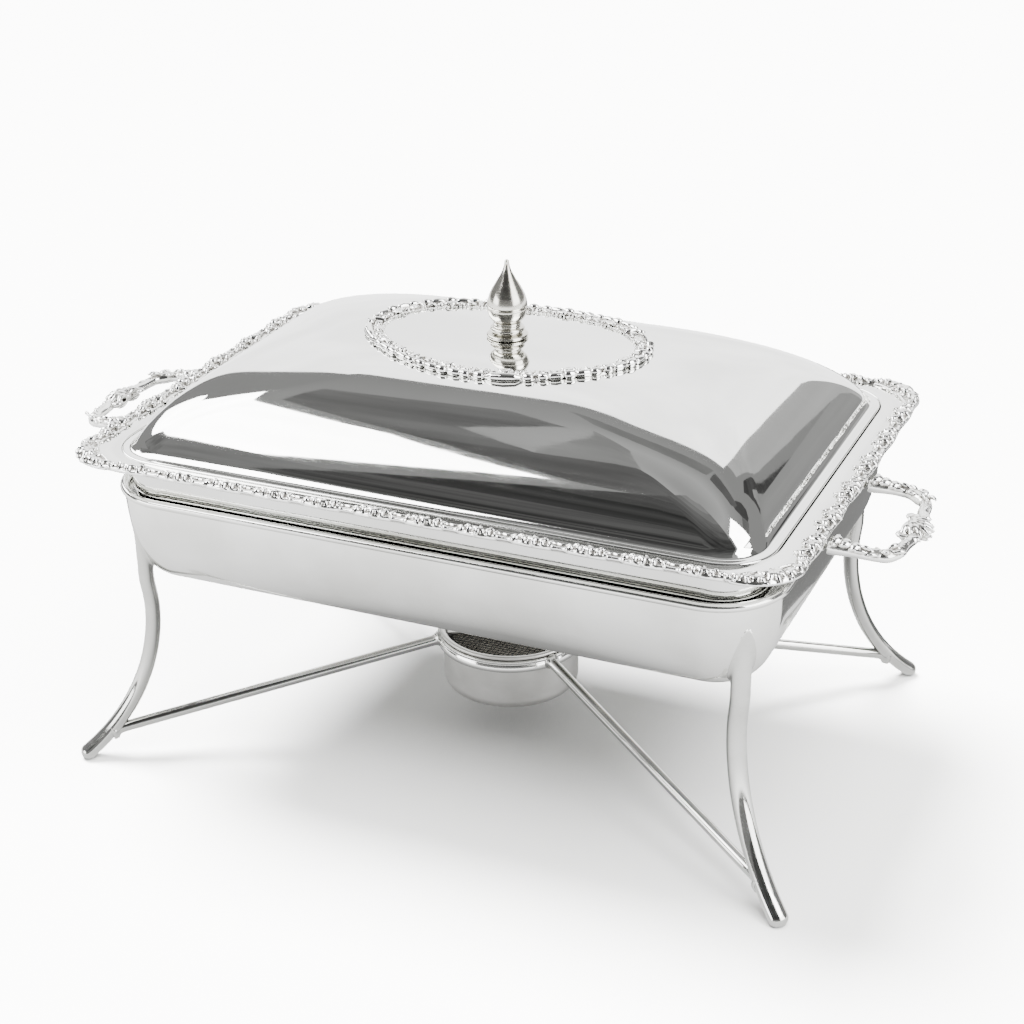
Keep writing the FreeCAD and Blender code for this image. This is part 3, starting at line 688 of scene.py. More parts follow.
def make_fixing():
    """Threaded stud, washer and nut under the crown of the cover."""
    washer_low, washer_high = node_box("finial_washer")
    profile = [(STUD_R, washer_low.z + 0.1), (5.8, washer_low.z), (6.0, washer_low.z + 0.2)]
    profile += [(6.0, washer_high.z - 0.2), (5.8, washer_high.z), (STUD_R, washer_high.z)]
    role = ("cover", "fastener")
    add_piece("pressed_washer", hollow_lathe(profile, 64), FASTENER, *role, "finial_washer")

    nut_low, nut_high = node_box("finial_nut")
    sides = 72
    loops = []
    for z, trim in ((0.0, 4.05), (0.5, 4.75), (3.5, 4.75), (4.0, 4.05)):
        loop = []
        for k in range(sides):
            turn = 2 * pi * k / sides
            face = (turn % (pi / 3)) - pi / 6
            r = min(nut_high.y / cos(face), trim)
            loop.append((r * cos(turn), r * sin(turn), nut_low.z + z))
        loops.append(loop)
    bore = [circle(STUD_R, z, sides) for z in (nut_high.z, nut_low.z)]
    shape = loft(loops + bore, join_ends=True)
    add_piece("hex_nut", shape, FASTENER, *role, "finial_nut", smooth=False)

    stud_low, stud_high = node_box("finial_stud")
    pitch, per_turn = 0.8, 8
    rows = int((stud_high.z - stud_low.z) / pitch * per_turn)
    loops = []
    for row in range(rows + 1):
        z = stud_low.z + (stud_high.z - stud_low.z) * row / rows
        loop = []
        for k in range(24):
            phase = ((z - stud_low.z) / pitch - k / 24) % 1.0
            r = STUD_R - 0.05 - 0.4 * abs(2 * phase - 1)
            r = min(r, STUD_R - 0.6 + (z - stud_low.z))
            loop.append((r * cos(2 * pi * k / 24), r * sin(2 * pi * k / 24), z))
        loops.append(loop)
    add_piece("threaded_stud", loft(loops), FASTENER, *role, "finial_stud")


# ---- camera --------------------------------------------------------------------------
CAMERA_AZIMUTH = 23.81
CAMERA_ELEVATION = 25.05
CAMERA_ROLL = -0.63
CAMERA_DISTANCE = 1207.1
CAMERA_TARGET = (1.3, 0.57, 139.45)
CAMERA_LENS = 71.01
CAMERA_SENSOR = 36.0


def make_camera():
    """The photo's viewpoint."""
    azimuth, elevation, roll = (radians(a) for a in (CAMERA_AZIMUTH, CAMERA_ELEVATION, CAMERA_ROLL))
    flat = cos(elevation)
    back = Vector((sin(azimuth) * flat, -cos(azimuth) * flat, sin(elevation)))
    level = Vector((cos(azimuth), sin(azimuth), 0.0))
    upright = back.cross(level)
    right = level * cos(roll) + upright * sin(roll)
    up = upright * cos(roll) - level * sin(roll)
    data = bpy.data.cameras.new("camera")
    data.lens = CAMERA_LENS
    data.sensor_width = CAMERA_SENSOR
    camera = bpy.data.objects.new("camera", data)
    turn = Matrix((right, up, back)).transposed().to_4x4()
    where = (Vector(CAMERA_TARGET) + back * CAMERA_DISTANCE) * MM
    camera.matrix_world = Matrix.Translation(where) @ turn
    bpy.context.collection.objects.link(camera)
    bpy.context.scene.camera = camera


# ---- castings ------------------------------------------------------------------------
class Pile:
    """Closed pieces gathered into one mesh. Castings are piles of overlapping tapered tubes."""

    def __init__(self):
        self.verts, self.faces = [], []

    def add(self, verts, faces):
        """Adds one closed piece."""
        start = len(self.verts)
        self.verts += list(verts)
        self.faces += [tuple(start + k for k in face) for face in faces]

    def shape(self):
        """The points and faces of all of them."""
        return self.verts, self.faces

    def tube(self, line, radii, sides=8, squash=1.0, up=UP):
        """Tube along a line of points; squash flattens it towards up."""
        loops = []
        for k, (point, radius) in enumerate(zip(line, radii)):
            ahead = line[min(k + 1, len(line) - 1)] - line[max(k - 1, 0)]
            side = ahead.cross(up)
            if side.length < 1e-6:
                side = ahead.orthogonal()
            side.normalize()
            over = side.cross(ahead).normalized()
            loops.append(ring_of(point, side, over, radius, radius * squash, sides))
        self.add(*loft(loops))


def swell(t, start=0.35, peak=0.55, end=0.45):
    """Radius share at a share t of a leaf: narrow start, full at peak, rounded end."""
    if t < peak:
        return start + (1 - start) * sin(pi / 2 * t / peak)
    return end + (1 - end) * cos(pi / 2 * (t - peak) / (1 - peak))


class Carver:
    """Puts ornaments on a surface. spot(u, v, w) is a place u along it, v outwards and w up, in mm."""

    def __init__(self, spot):
        self.spot, self.pile = spot, Pile()

    def up(self, u, v):
        """The direction off the surface."""
        return (self.spot(u, v, 1.0) - self.spot(u, v, 0.0)).normalized()

    def line(self, points, radii, sides=8, squash=1.0):
        """Tapering tube through (u, v, w) points."""
        mid = points[len(points) // 2]
        self.pile.tube([self.spot(*p) for p in points], radii, sides, squash, self.up(mid[0], mid[1]))

    def bead(self, u, v, w, radius):
        """Round bead with its middle at (u, v, w)."""
        turns = [radians(a) for a in (-75, -40, 0, 40, 75)]
        self.line([(u + radius * sin(a), v, w) for a in turns], [radius * cos(a) for a in turns])

    def leaf(self, u, v, w, angle, reach, radius, rise=1.0, curl=0.0, drop=0.0):
        """One lobe from a hub; the angle is measured from straight outwards, in degrees."""
        points, radii = [], []
        heading = radians(angle)
        last = 6
        for k in range(last + 1):
            points.append((u, v, w + rise * sin(pi * 0.85 * k / last) - drop * (k / last) ** 2))
            radii.append(radius * swell(k / last))
            u += reach / last * sin(heading)
            v += reach / last * cos(heading)
            heading += radians(curl) / last
        self.line(points, radii)

    def fan(self, u, v, w, angle, spread, lobes, reach, radius, rise=1.0, drop=0.0):
        """Shell of lobes round a hub, the middle ones longer."""
        for k in range(lobes):
            lean = k / (lobes - 1) - 0.5
            length = reach * (1 - 0.5 * lean * lean)
            self.leaf(u, v, w, angle + spread * lean, length, radius, rise, 30 * lean, drop)

    def scroll(self, u, v, w, radius, start, turn, thick):
        """Volute: a tapering tube that winds in and ends in a small eye."""
        count = max(int(abs(turn) / 22), 6)
        points, radii = [], []
        for k in range(count + 1):
            t = k / count
            angle = radians(start + turn * t)
            r = radius * (1 - 0.72 * t)
            points.append((u + r * cos(angle), v + r * sin(angle), w + 0.5 * t * thick))
            radii.append(thick * (1 - 0.35 * t))
        self.line(points, radii)
        self.bead(u, v, w + 0.4 * thick, thick * 0.95)

    def reed(self, u0, u1, v, w, radius):
        """Smooth half-round run between two ornaments, with a collar at each end."""
        squash = 0.8
        count = max(int(abs(u1 - u0) / 3), 4)
        points = [(u0 + (u1 - u0) * k / count, v, w) for k in range(count + 1)]
        self.line(points, [radius] * (count + 1), 10, squash)
        for u in (u0, u1):
            self.line([(u - 0.5, v, w), (u + 0.5, v, w)], [radius * 1.22] * 2, 10, squash)

    def strip(self, start, end, outline, step=2.5):
        """Base strip along u; outline(u) gives its section as (v, w) points."""
        count = max(int(abs(end - start) / step), 2)
        loops = []
        for k in range(count + 1):
            u = start + (end - start) * k / count
            loops.append([self.spot(u, v, w) for v, w in outline(u)])
        self.pile.add(*loft(loops))


BULGE_FULL = 0.16        # a skin this far off its smoothed self counts as fully raised


def read_table(items, what, width, kind=float):
    """One property of all of a mesh's vertices or edges, a row for each."""
    values = np.zeros(len(items) * width, kind)
    items.foreach_get(what, values)
    return values.reshape(-1, width)


def add_casting(pile, name, body, node, voxel=0.42):
    """One skin round a pile of overlapping pieces, smoothed, with its hollows marked for the patina."""
    raw = mesh_object(name + "_raw", *pile.shape(), SILVER_CAST)
    remesh = raw.modifiers.new("skin", "REMESH")
    remesh.mode = "VOXEL"
    remesh.voxel_size = voxel * MM
    graph = bpy.context.evaluated_depsgraph_get()
    mesh = bpy.data.meshes.new_from_object(raw.evaluated_get(graph))
    bpy.data.objects.remove(raw)
    mesh.name = name
    points = read_table(mesh.vertices, "co", 3)
    first, second = read_table(mesh.edges, "vertices", 2, np.int32).T
    share = 1.0 / np.maximum(np.bincount(np.r_[first, second], minlength=len(points)), 1)

    def relaxed(places, times):
        """The points after moving most of the way to their neighbours' mean, a few times."""
        for _ in range(times):
            total = np.stack([
                np.bincount(first, places[second, axis], len(places))
                + np.bincount(second, places[first, axis], len(places)) for axis in range(3)], 1)
            places = 0.35 * places + 0.65 * total * share[:, None]
        return places

    points = relaxed(points, 2)
    mesh.vertices.foreach_set("co", points.ravel())
    mesh.update()
    normals = read_table(mesh.vertices, "normal", 3)
    bulge = ((points - relaxed(points, 7)) * normals).sum(1) / (BULGE_FULL * MM)
    relief = mesh.attributes.new("relief", "FLOAT", "POINT")
    relief.data.foreach_set("value", np.clip(0.5 + 0.5 * bulge, 0, 1).astype(np.float32))
    mesh.materials.clear()
    mesh.materials.append(SILVER_CAST)
    mesh.shade_smooth()
    obj = bpy.data.objects.new(name, mesh)
    bpy.context.collection.objects.link(obj)
    place(obj, body, "silver_cast", node)


# ---- border of the food pan ------------------------------------------------------------
CORNER_HALF = FLANGE_R * pi / 4  # half the arc length of a corner
LONG_SIDES = ("front", "back")


def side_spot(side):
    """Places on one straight side of the flange: u runs along it, v outwards from its edge."""
    turn = radians({"front": -90, "right": 0, "back": 90, "left": 180}[side])
    reach = FLANGE_Y if side in LONG_SIDES else FLANGE_X
    out = Vector((cos(turn), sin(turn), 0))
    along = Vector((-out.y, out.x, 0))
    return lambda u, v, w: out * (reach + v) + along * u + UP * (FLANGE_TOP + w)


def corner_spot(sx, sy):
    """Places round one corner of the flange: u is the arc length from its middle."""
    centre = Vector((sx * (FLANGE_X - FLANGE_R), sy * (FLANGE_Y - FLANGE_R), FLANGE_TOP))
    middle = atan2(sy, sx)

    def spot(u, v, w):
        turn = middle + u / FLANGE_R
        return centre + Vector((cos(turn), sin(turn), 0)) * (FLANGE_R + v) + UP * w
    return spot


def border_outline(inner, outer, height):
    """Section of the base strip that wraps the flange's edge."""
    return [(-inner, -0.5), (-inner + 0.5, 0.25), (-inner * 0.6, 0.55 * height),
            (-inner * 0.25, height), (outer * 0.5, height * 0.7), (outer, -0.2),
            (outer * 0.9, -1.2), (outer * 0.3, -1.9), (-1.4, -1.7), (-1.6, -0.6)]


def leaf_cluster(carver, u, v, size, rng):
    """Small rococo group: three plump leaves between leaning ones, with volutes on the inner side."""
    def fan(du, dv, w, angle, spread, lobes, reach, radius, rise, drop):
        carver.fan(u + du * size, v - dv * size, w, angle, spread, lobes,
                   reach * size, radius * size, rise, drop)

    fan(0, 3.6, 1.0, rng.uniform(-14, 14), 92, 3, 5.0, 1.55, 1.9, 2.0)
    carver.bead(u, v - 4.6 * size, 2.0, 1.25 * size)
    for hand in (-1, 1):
        lean = rng.uniform(-12, 12)
        fan(hand * 4.4, 4.0, 0.9, hand * (48 + lean), 58, 2, 5.4, 1.45, 1.7, 1.8)
        fan(hand * 8.6, 3.4, 0.7, hand * (66 - lean), 46, 2, 4.6, 1.2, 1.3, 1.6)
        start = 90 + hand * 60
        carver.scroll(u + hand * 5.0 * size, v - 6.2 * size, 0.7, 2.0 * size, start, -hand * 300, 0.7 * size)
        carver.bead(u + hand * 11.6 * size, v - 0.9, 0.4, 1.3 * size)


def make_border(side):
    """Straight run: clusters with plain rolled links between them."""
    carver = Carver(side_spot(side))
    rng = random.Random(len(side))
    long_side = side in LONG_SIDES
    half = (FLANGE_X if long_side else FLANGE_Y) - FLANGE_R
    width, over = (7.6, 1.1) if long_side else (9.6, 1.8)
    clusters = 12 if long_side else 6
    pitch = 2 * half / clusters

    def outline(u):
        phase = cos(2 * pi * (u + half) / pitch)
        return border_outline(width - 0.9 - 0.9 * phase, over - 0.35 - 0.55 * phase, 1.25 - 0.2 * phase)

    carver.strip(-half - 1.5, half + 1.5, outline)
    size = pitch / 30.5 * (1.0 if long_side else 1.1)
    for k in range(clusters):
        u = -half + pitch * (k + 0.5)
        leaf_cluster(carver, u, 0.0, size * rng.uniform(0.96, 1.04), rng)
    for k in range(clusters + 1):
        u = -half + pitch * k
        reach = 3.6 * size if 0 < k < clusters else 2.4
        carver.reed(u - reach, u + reach, -0.4, 0.35, 1.45)
        link = [(u - reach - 2, -4.6, 0.9), (u, -3.6, 1.2), (u + reach + 2, -4.6, 0.9)]
        carver.line(link, [0.5, 0.75, 0.5])
    add_casting(carver.pile, f"cast_border_{side}", "food_pan_body", f"border_{side}")


def make_corner(name, sx, sy):
    """Round the corner the border widens: a leaf shell in the middle and a cluster on each side."""
    carver = Carver(corner_spot(sx, sy))
    rng = random.Random(3 + sx + 2 * sy)

    def outline(u):
        bulge = cos(pi / 2 * u / CORNER_HALF) ** 0.7 if abs(u) < CORNER_HALF else 0.0
        return border_outline(7.6 + 2.6 * bulge, 1.1 + 1.9 * bulge, 1.3 + 0.4 * bulge)

    carver.strip(-CORNER_HALF - 1.0, CORNER_HALF + 1.0, outline, 1.6)
    carver.fan(0, -6.0, 1.2, 0, 132, 5, 9.3, 1.9, 1.9, 2.6)
    carver.fan(0, -6.6, 2.0, 0, 100, 4, 6.0, 1.0, 1.2, 1.0)
    carver.bead(0, -6.6, 2.4, 1.7)
    for hand in (-1, 1):
        carver.scroll(hand * 5.6, -8.2, 1.0, 2.9, 90 + hand * 70, -hand * 330, 0.85)
        carver.fan(hand * 7.4, -3.4, 1.0, hand * 48, 76, 3, 6.6, 1.5, 1.4, 1.8)
        carver.bead(hand * 6.2, 2.2, -0.1, 1.5)
        leaf_cluster(carver, hand * 16.2, 0.4, 0.92, rng)
        stem = ((8.0, -9.6, 1.0), (14.0, -8.8, 1.1), (19.0, -7.2, 1.0), (24, -6.2, 0.8))
        carver.line([(hand * u, v, w) for u, v, w in stem], [0.8, 0.75, 0.65, 0.5])
    add_casting(carver.pile, f"cast_corner_{name}", "food_pan_body", f"corner_mount_{name}")


# ---- handles --------------------------------------------------------------------------
HANDLE_LOW, HANDLE_HIGH = node_box("handle_right")
HANDLE_MID_Y = (HANDLE_LOW.y + HANDLE_HIGH.y) / 2
HANDLE_HALF = 42.0               # half the distance between its two arms
HANDLE_ROOT = (212.5, 189.8)     # distance from the middle and height, at the flange
HANDLE_OUT = (250.0, 186.0)      # the same for the outer bar
HANDLE_CORNER_R = 19.0
LUG_LOW, LUG_HIGH = node_box("handle_lugs_right")


def handle_spot(side):
    """Places round a loop handle: u is the length from the middle of its outer bar."""
    bar = HANDLE_HALF - HANDLE_CORNER_R
    bend = pi / 2 * HANDLE_CORNER_R
    fall = (HANDLE_OUT[1] - HANDLE_ROOT[1]) / (HANDLE_OUT[0] - HANDLE_ROOT[0])

    def spot(u, v, w):
        hand, at = (1 if u >= 0 else -1), abs(u)
        if at <= bar:
            across, out, nx, ny = at, HANDLE_OUT[0], 1.0, 0.0
        elif at <= bar + bend:
            turn = (at - bar) / HANDLE_CORNER_R
            across = bar + HANDLE_CORNER_R * sin(turn)
            out = HANDLE_OUT[0] - HANDLE_CORNER_R * (1 - cos(turn))
            nx, ny = cos(turn), sin(turn)
        else:
            across = HANDLE_HALF
            out = HANDLE_OUT[0] - HANDLE_CORNER_R - (at - bar - bend)
            nx, ny = 0.0, 1.0
        waist = 2.2 * exp(-((at - 24) / 9.0) ** 2)
        out, across = out + nx * (v - waist), across + ny * (v - waist)
        height = HANDLE_ROOT[1] + fall * (out - HANDLE_ROOT[0]) + w
        return Vector((side * out, HANDLE_MID_Y + hand * across, height))
    return spot


def make_handle(name, side):
    """Cast loop: plain rounded underside, leaves and scrolls on top, a shell in the middle."""
    carver = Carver(handle_spot(side))
    end = HANDLE_HALF - HANDLE_CORNER_R + pi / 2 * HANDLE_CORNER_R
    end += HANDLE_OUT[0] - HANDLE_CORNER_R - HANDLE_ROOT[0] - 0.6
    knot = 41.0
    flat = 0.85

    def thickness(at):
        return 3.5 + 2.3 * exp(-((at - end) / 10.0) ** 2) + 0.8 * exp(-((at - knot) / 4.0) ** 2)

    def seat(at, v, lift=0.0):
        """Height of the tube's skin there, so that an ornament lies on it."""
        return flat * sqrt(max(thickness(at) ** 2 - v * v, 0.0)) + lift

    count = 90
    places = [-end + 2 * end * k / count for k in range(count + 1)]
    radii = [thickness(abs(u)) for u in places]
    carver.pile.tube([carver.spot(u, 0.0, 0.0) for u in places], radii, 14, flat)
    for hand in (-1, 1):
        def leaf(at, v, angle, reach, radius, rise, lift=0.0, seat_at=knot):
            carver.leaf(hand * at, v, seat(seat_at, v, lift), hand * angle, reach, radius, rise)

        for at in (end - 1.5, end - 6.5, end - 11.5):
            for v in (-3.6, -1.8, 0.0, 1.8, 3.6):
                reach = 6.5 - abs(v) * 0.5
                line = []
                for t in (0, 0.25, 0.5, 0.75, 1):
                    here, beside = at - reach * t, v * (1 - 0.35 * t)
                    line.append((hand * here, beside, seat(here, beside, 0.9 * sin(pi * t) - 0.2)))
                carver.line(line, [0.6, 1.0, 1.1, 0.9, 0.4])
        for v in (-4.4, 4.4):
            turn = 300 * hand * (1 if v > 0 else -1)
            carver.scroll(hand * (end - 2.5), v, seat(end, v, 0.3), 2.0, 90 if v > 0 else -90, turn, 0.85)
            leaf(end - 14.0, 0.75 * v, -(100 if v > 0 else 80), 6.0, 1.2, 0.9, -0.3, end - 14.0)
        carver.scroll(hand * knot, 2.4, seat(knot, 2.4, 0.2), 2.9, 0, hand * 300, 1.05)
        carver.scroll(hand * (knot + 5.0), -2.2, seat(knot + 5.0, 2.2, 0.2), 2.5, 180, hand * 300, 0.95)
        leaf(knot - 2, -1.8, -80, 8.0, 1.35, 1.2, 0.3)
        leaf(knot - 3, 2.6, -62, 6.5, 1.3, 0.8)
        leaf(knot + 7, 0.8, 95, 6.5, 1.3, 1.0, 0.2, knot + 7)
        leaf(knot + 4, 3.2, 66, 6.0, 1.2, 0.8, 0.0, knot + 4)
        for k in range(5):
            carver.bead(hand * (knot - 9.0 - 2.4 * k), 0.3, 2.7 - 0.05 * k, 1.1 - 0.06 * k)
        carver.leaf(hand * 17.5, 0.6, 1.8, hand * 84, 9.0, 1.3, 0.8)
        carver.scroll(hand * 11.0, -5.6, 1.0, 3.4, 60 if hand > 0 else 120, -hand * 360, 1.35)
        carver.fan(hand * 11.5, 0.0, 1.2, hand * 62, 60, 4, 6.0, 1.2, 1.2, 0.8)
    carver.fan(0.0, -5.5, 1.6, 0, 172, 9, 14.2, 1.75, 2.8, 1.6)
    carver.fan(0.0, -5.5, -1.2, 0, 172, 9, 13.4, 1.8, -0.6, 0.0)
    carver.fan(0.0, -4.6, 3.6, 0, 130, 5, 6.4, 1.1, 1.4, 0.6)
    carver.bead(0.0, -5.6, 1.6, 2.3)
    add_casting(carver.pile, f"cast_handle_{name}", "food_pan_body", f"handle_{name}", 0.45)


def make_tabs(name, side):
    """Flat leaves that join a handle's two roots to the underside of the flange."""
    tabs = Pile()
    inner, root = LUG_LOW.x, HANDLE_ROOT[0]
    low, high = LUG_LOW.z, LUG_HIGH.z
    reaches = (inner + 1.4, inner + 4.5, inner + 8.5, root - 0.8)
    for arm in (-1, 1):
        middle = HANDLE_MID_Y + arm * HANDLE_HALF
        for spread, z in ((6.3, high - 1.0), (5.4, high - 3.2)):
            line = [Vector((side * x, middle, z)) for x in reaches]
            tabs.tube(line, [2.2, 4.4 * spread / 6.3, 5.9 * spread / 6.3, 5.2 * spread / 6.3], 16, 0.26)
        for dy in (-3.6, 0.0, 3.6):
            line = []
            for x in (1.6, 4.0, 6.5, 9.0, 12.0):
                dip = 1.6 * sin(x / 4.0)
                line.append(Vector((side * (inner + x), middle + dy * (0.4 + 0.06 * x), high - 3.0 - dip)))
            tabs.tube(line, [0.9, 1.4, 1.7, 1.9, 1.7], 10)
        line = [Vector((side * (root - 2.6), middle + dy, low + 3.2)) for dy in (-6.0, -3, 0, 3, 6.0)]
        tabs.tube(line, [0.9, 1.7, 2.1, 1.7, 0.9], 12)
    add_casting(tabs, f"cast_tabs_{name}", "food_pan_body", f"handle_lugs_{name}", 0.5)


# ---- oval ring on the cover --------------------------------------------------------------
def ring_spot(cover):
    """Places on the oval band: u is the length from the front, v outwards, w off the dome."""
    tree = BVHTree.FromObject(cover, bpy.context.evaluated_depsgraph_get())
    a, b = RING_X - RING_WIDTH / 2, RING_Y - RING_WIDTH / 2
    turns = np.linspace(0, 2 * pi, 2001)
    xs, ys = a * np.sin(turns), -b * np.cos(turns)
    lengths = np.r_[0, np.cumsum(np.hypot(np.diff(xs), np.diff(ys)))]

    def spot(u, v, w):
        turn = float(np.interp(u % lengths[-1], lengths, turns))
        out = Vector((sin(turn) / a, -cos(turn) / b, 0)).normalized()
        plan = Vector((a * sin(turn), -b * cos(turn), 0)) + out * v
        above = Vector((plan.x, plan.y, 400.0)) * MM
        hit, normal, _, _ = tree.ray_cast(above, -UP)
        return hit / MM + normal * w
    return spot, float(lengths[-1])


RING_SHIFT = 21.0        # length along the oval to the first group, so a long pod faces the camera


def make_cover_ring(cover):
    """Oval garland: smooth pods outside, lined leaf groups on the band, fine beading inside."""
    spot, around = ring_spot(cover)
    carver = Carver(spot)
    rng = random.Random(11)
    groups = 12
    pitch = around / groups

    def outline(u):
        wave = cos(2 * pi * u / pitch)
        inner, outer = 4.2 + 0.5 * wave, 4.3 + 0.9 * wave
        return [(-inner, -0.3), (-inner + 0.3, 0.5), (-1.5, 1.0), (1.5, 1.0),
                (outer - 0.7, 0.9), (outer, 0.3), (outer - 0.2, -0.3)]

    steps = [around * k / 180 for k in range(180)]
    loops = [[spot(u, v, w) for v, w in outline(u)] for u in steps]
    carver.pile.add(*loft(loops, join_ends=True))
    for group in range(groups):
        at = group * pitch + RING_SHIFT
        if group % 3 == 0:
            pods = ((0.0, 10.4, 2.75), (-13.4, 2.8, 2.5), (13.4, 2.8, 2.5))
        else:
            pods = ((0.0, 3.0, 2.8), (-7.3, 4.5, 2.2), (7.3, 4.5, 2.2), (-14.0, 2.6, 2.4), (14.0, 2.6, 2.4))
        for along, half, thick in pods:
            u = at + along + rng.uniform(-0.15, 0.15)
            line = [(u - half, 3.1, 0.9), (u - 0.6 * half, 3.6, 1.7), (u, 3.8, 1.9)]
            line += [(u + 0.6 * half, 3.6, 1.7), (u + half, 3.1, 0.9)]
            carver.line(line, [0.4 * thick, 0.9 * thick, thick, 0.9 * thick, 0.4 * thick], 14)
        carver.fan(at, -3.8, 1.3, 0, 150, 7, 5.4, 0.85, 1.2, 0.4)
        carver.bead(at, -3.6, 1.8, 1.3)
        for hand in (-1, 1):
            carver.scroll(at + hand * 6.4, -1.6, 1.4, 2.3, 90 + hand * 70, -hand * 330, 0.75)
            for row in range(3):
                carver.leaf(at + hand * 9.2, -3.4 + 1.7 * row, 1.3, hand * (80 + 8 * row), 5.8, 0.75, 0.8)
        middle = at + pitch / 2
        carver.line([(middle, -3.8, 1.3), (middle, -1.0, 1.8), (middle, 2.6, 1.7)], [0.9, 1.5, 1.9])
    beads = int(around / 2.7)
    for k in range(beads):
        carver.bead(around * k / beads, -4.9, 0.5, 0.85)
    add_casting(carver.pile, "cast_garland", "cover", "cover_ring")


def make_pegs():
    """Pegs that hold the garland to the cover."""
    pegs = Pile()
    low, high = node_box("cover_ring_pegs")
    for k in range(6):
        turn = radians(30 + 60 * k)
        x, y = (RING_X - RING_WIDTH / 2) * cos(turn), (RING_Y - RING_WIDTH / 2) * sin(turn)
        profile = [(0.9, low.z), (1.15, low.z + 0.3), (1.15, high.z - 0.3), (0.9, high.z)]
        verts, faces = lathe([(0.0, low.z), *profile, (0.0, high.z)], 24)
        pegs.add([(vx + x, vy + y, vz) for vx, vy, vz in verts], faces)
    add_piece("riveted_pegs", pegs.shape(), SILVER_COVER, "cover", "silver_cast", "cover_ring_pegs")


# ---- floor and light -------------------------------------------------------------------
FLOOR_WHITE = 12.0       # brightness of the backdrop
FLOOR_SHARE = 0.87       # share of the light that the floor gives back
ROOM_R = 9000.0          # radius of the floor and of the rooms
CARD_R = 8000.0          # distance of the cards
STAGE_MIDDLE = Vector((0, 0, 180))  # the cards' directions are taken from here

# Cards that make the bright and dark bands on the metal: name, corners as (azimuth, elevation),
# level, and for some the unevenness and the distance.
CARDS = (
    ("back_wall", [(74, -6), (137, -6), (137, 50), (106, 54), (74, 50)], 3.3, 0.08, 8400.0),
    ("back_wall_side", [(66, -6), (74, -6), (74, 47), (66, 44)], 0.6, 0.1, 8400.0),
    ("back_wall_edge", [(76, 56), (128, 58), (128, 63), (76, 62)], 0.22),
    ("left_softbox", [(147, 13), (178, 28), (186, 37), (232, 38), (231, 57), (206, 61), (180, 58),
                      (157, 52), (153, 34), (148, 31)], 14.0),
    ("left_shade", [(180, 22), (238, 20), (238, 36), (186, 35)], 0.2, 0.25),
    ("left_top", [(142, 62), (158, 60), (182, 61), (206, 62.5), (206, 67), (182, 67), (150, 67)], 0.17, 0.2),
    ("left_top_high", [(140, 67), (206, 67), (206, 73), (138, 73)], 0.31, 0.15),
    ("left_top_front", [(206, 62.5), (232, 58), (236, 58), (236, 73), (206, 73)], 0.145, 0.25),
    ("right_softbox", [(-26, 38), (21, 38), (24, 65), (-24, 63)], 14.0),
    ("right_shade", [(24, 41), (37, 41), (38, 51), (24, 51)], 0.16),
    ("right_shade_core", [(36, 43), (41, 41), (47, 43), (51, 48), (52, 54), (47, 58), (42, 57),
                          (38, 51)], 0.07),
    ("right_shade_high", [(45, 53), (74, 57), (72, 63), (46, 60)], 0.12),
    ("right_shade_low", [(56.5, 13), (63.5, 12), (65, 24), (63.5, 38), (58, 41), (56, 30)], 0.075, 0.3),
    ("right_shade_eye", [(58.5, 12), (62, 12), (62.8, 22), (60.5, 29), (58.5, 24)], 0.36, 0.2, 7900.0),
    ("right_shade_foot", [(54, -5), (66, -5), (66, 12), (55, 12)], 0.34, 0.15),
    ("right_strip", [(-30, 3), (12, 3), (13, 37), (-30, 37)], 8.0),
    ("left_strip", [(206, 2), (240, 2), (239, 19), (206, 20)], 8.0),
)
# Steps of the grey room in front of the dish: lowest and highest elevation, level, unevenness.
FRONT_SHADES = ((22, 40, 0.075, 0.5), (40, 51, 0.052, 0.35), (51, 58, 0.075, 0.3), (58, 66, 0.105, 0.2),
                (66, 73, 0.145, 0.15), (73, 80, 0.19, 0.12), (80, 86, 0.26, 0.1))


def direction(azimuth, elevation):
    """Unit vector; the azimuth is measured from +X towards +Y, in degrees."""
    turn, rise = radians(azimuth), radians(elevation)
    return Vector((cos(turn) * cos(rise), sin(turn) * cos(rise), sin(rise)))


def seen_by(obj, camera=False, glossy=False):
    """A stage piece that lights nothing and only some rays see."""
    obj.visible_camera = camera
    obj.visible_glossy = glossy
    obj.visible_diffuse = False
    obj.visible_transmission = False
    obj.visible_shadow = False


def glow_material(name, stops, feature, scale=1.0, stretch=(1, 1, 1)):
    """Emission whose level follows a ramp over a feature: height, distance from the middle or noise."""
    material, tree, glow = new_material(name, "Emission")
    if feature == "noise":
        source = add_noise(tree, scale, 4, stretch)
    else:
        where = add_node(tree, "TexCoord")
        split = add_node(tree, "SeparateXYZ")
        length = add_node(tree, "VectorMath")
        length.operation = "LENGTH"
        level = add_node(tree, "Math")
        level.operation = "MULTIPLY"
        level.inputs[1].default_value = scale
        tree.links.new(where.outputs["Object"], split.inputs["Vector"])
        tree.links.new(where.outputs["Object"], length.inputs[0])
        measured = split.outputs["Z"] if feature == "height" else length.outputs["Value"]
        tree.links.new(measured, level.inputs[0])
        source = level.outputs["Value"]
    top = max(value for _, value in stops)
    add_ramp(tree, source, [(at, value / top) for at, value in stops], glow.inputs["Color"])
    glow.inputs["Strength"].default_value = top
    return material


def add_card(name, corners, level, uneven=0.1, radius=CARD_R, stretch=(1, 1, 1)):
    """A card that only mirror reflections see; its corners are (azimuth, elevation) from the dish."""
    verts = [STAGE_MIDDLE + direction(*corner) * radius for corner in corners]
    stops = [(0.35, level * (1 - uneven)), (0.65, level * (1 + uneven))]
    material = glow_material(name, stops, "noise", 0.65, stretch)
    seen_by(add_sheet(name, verts, material), glossy=True)


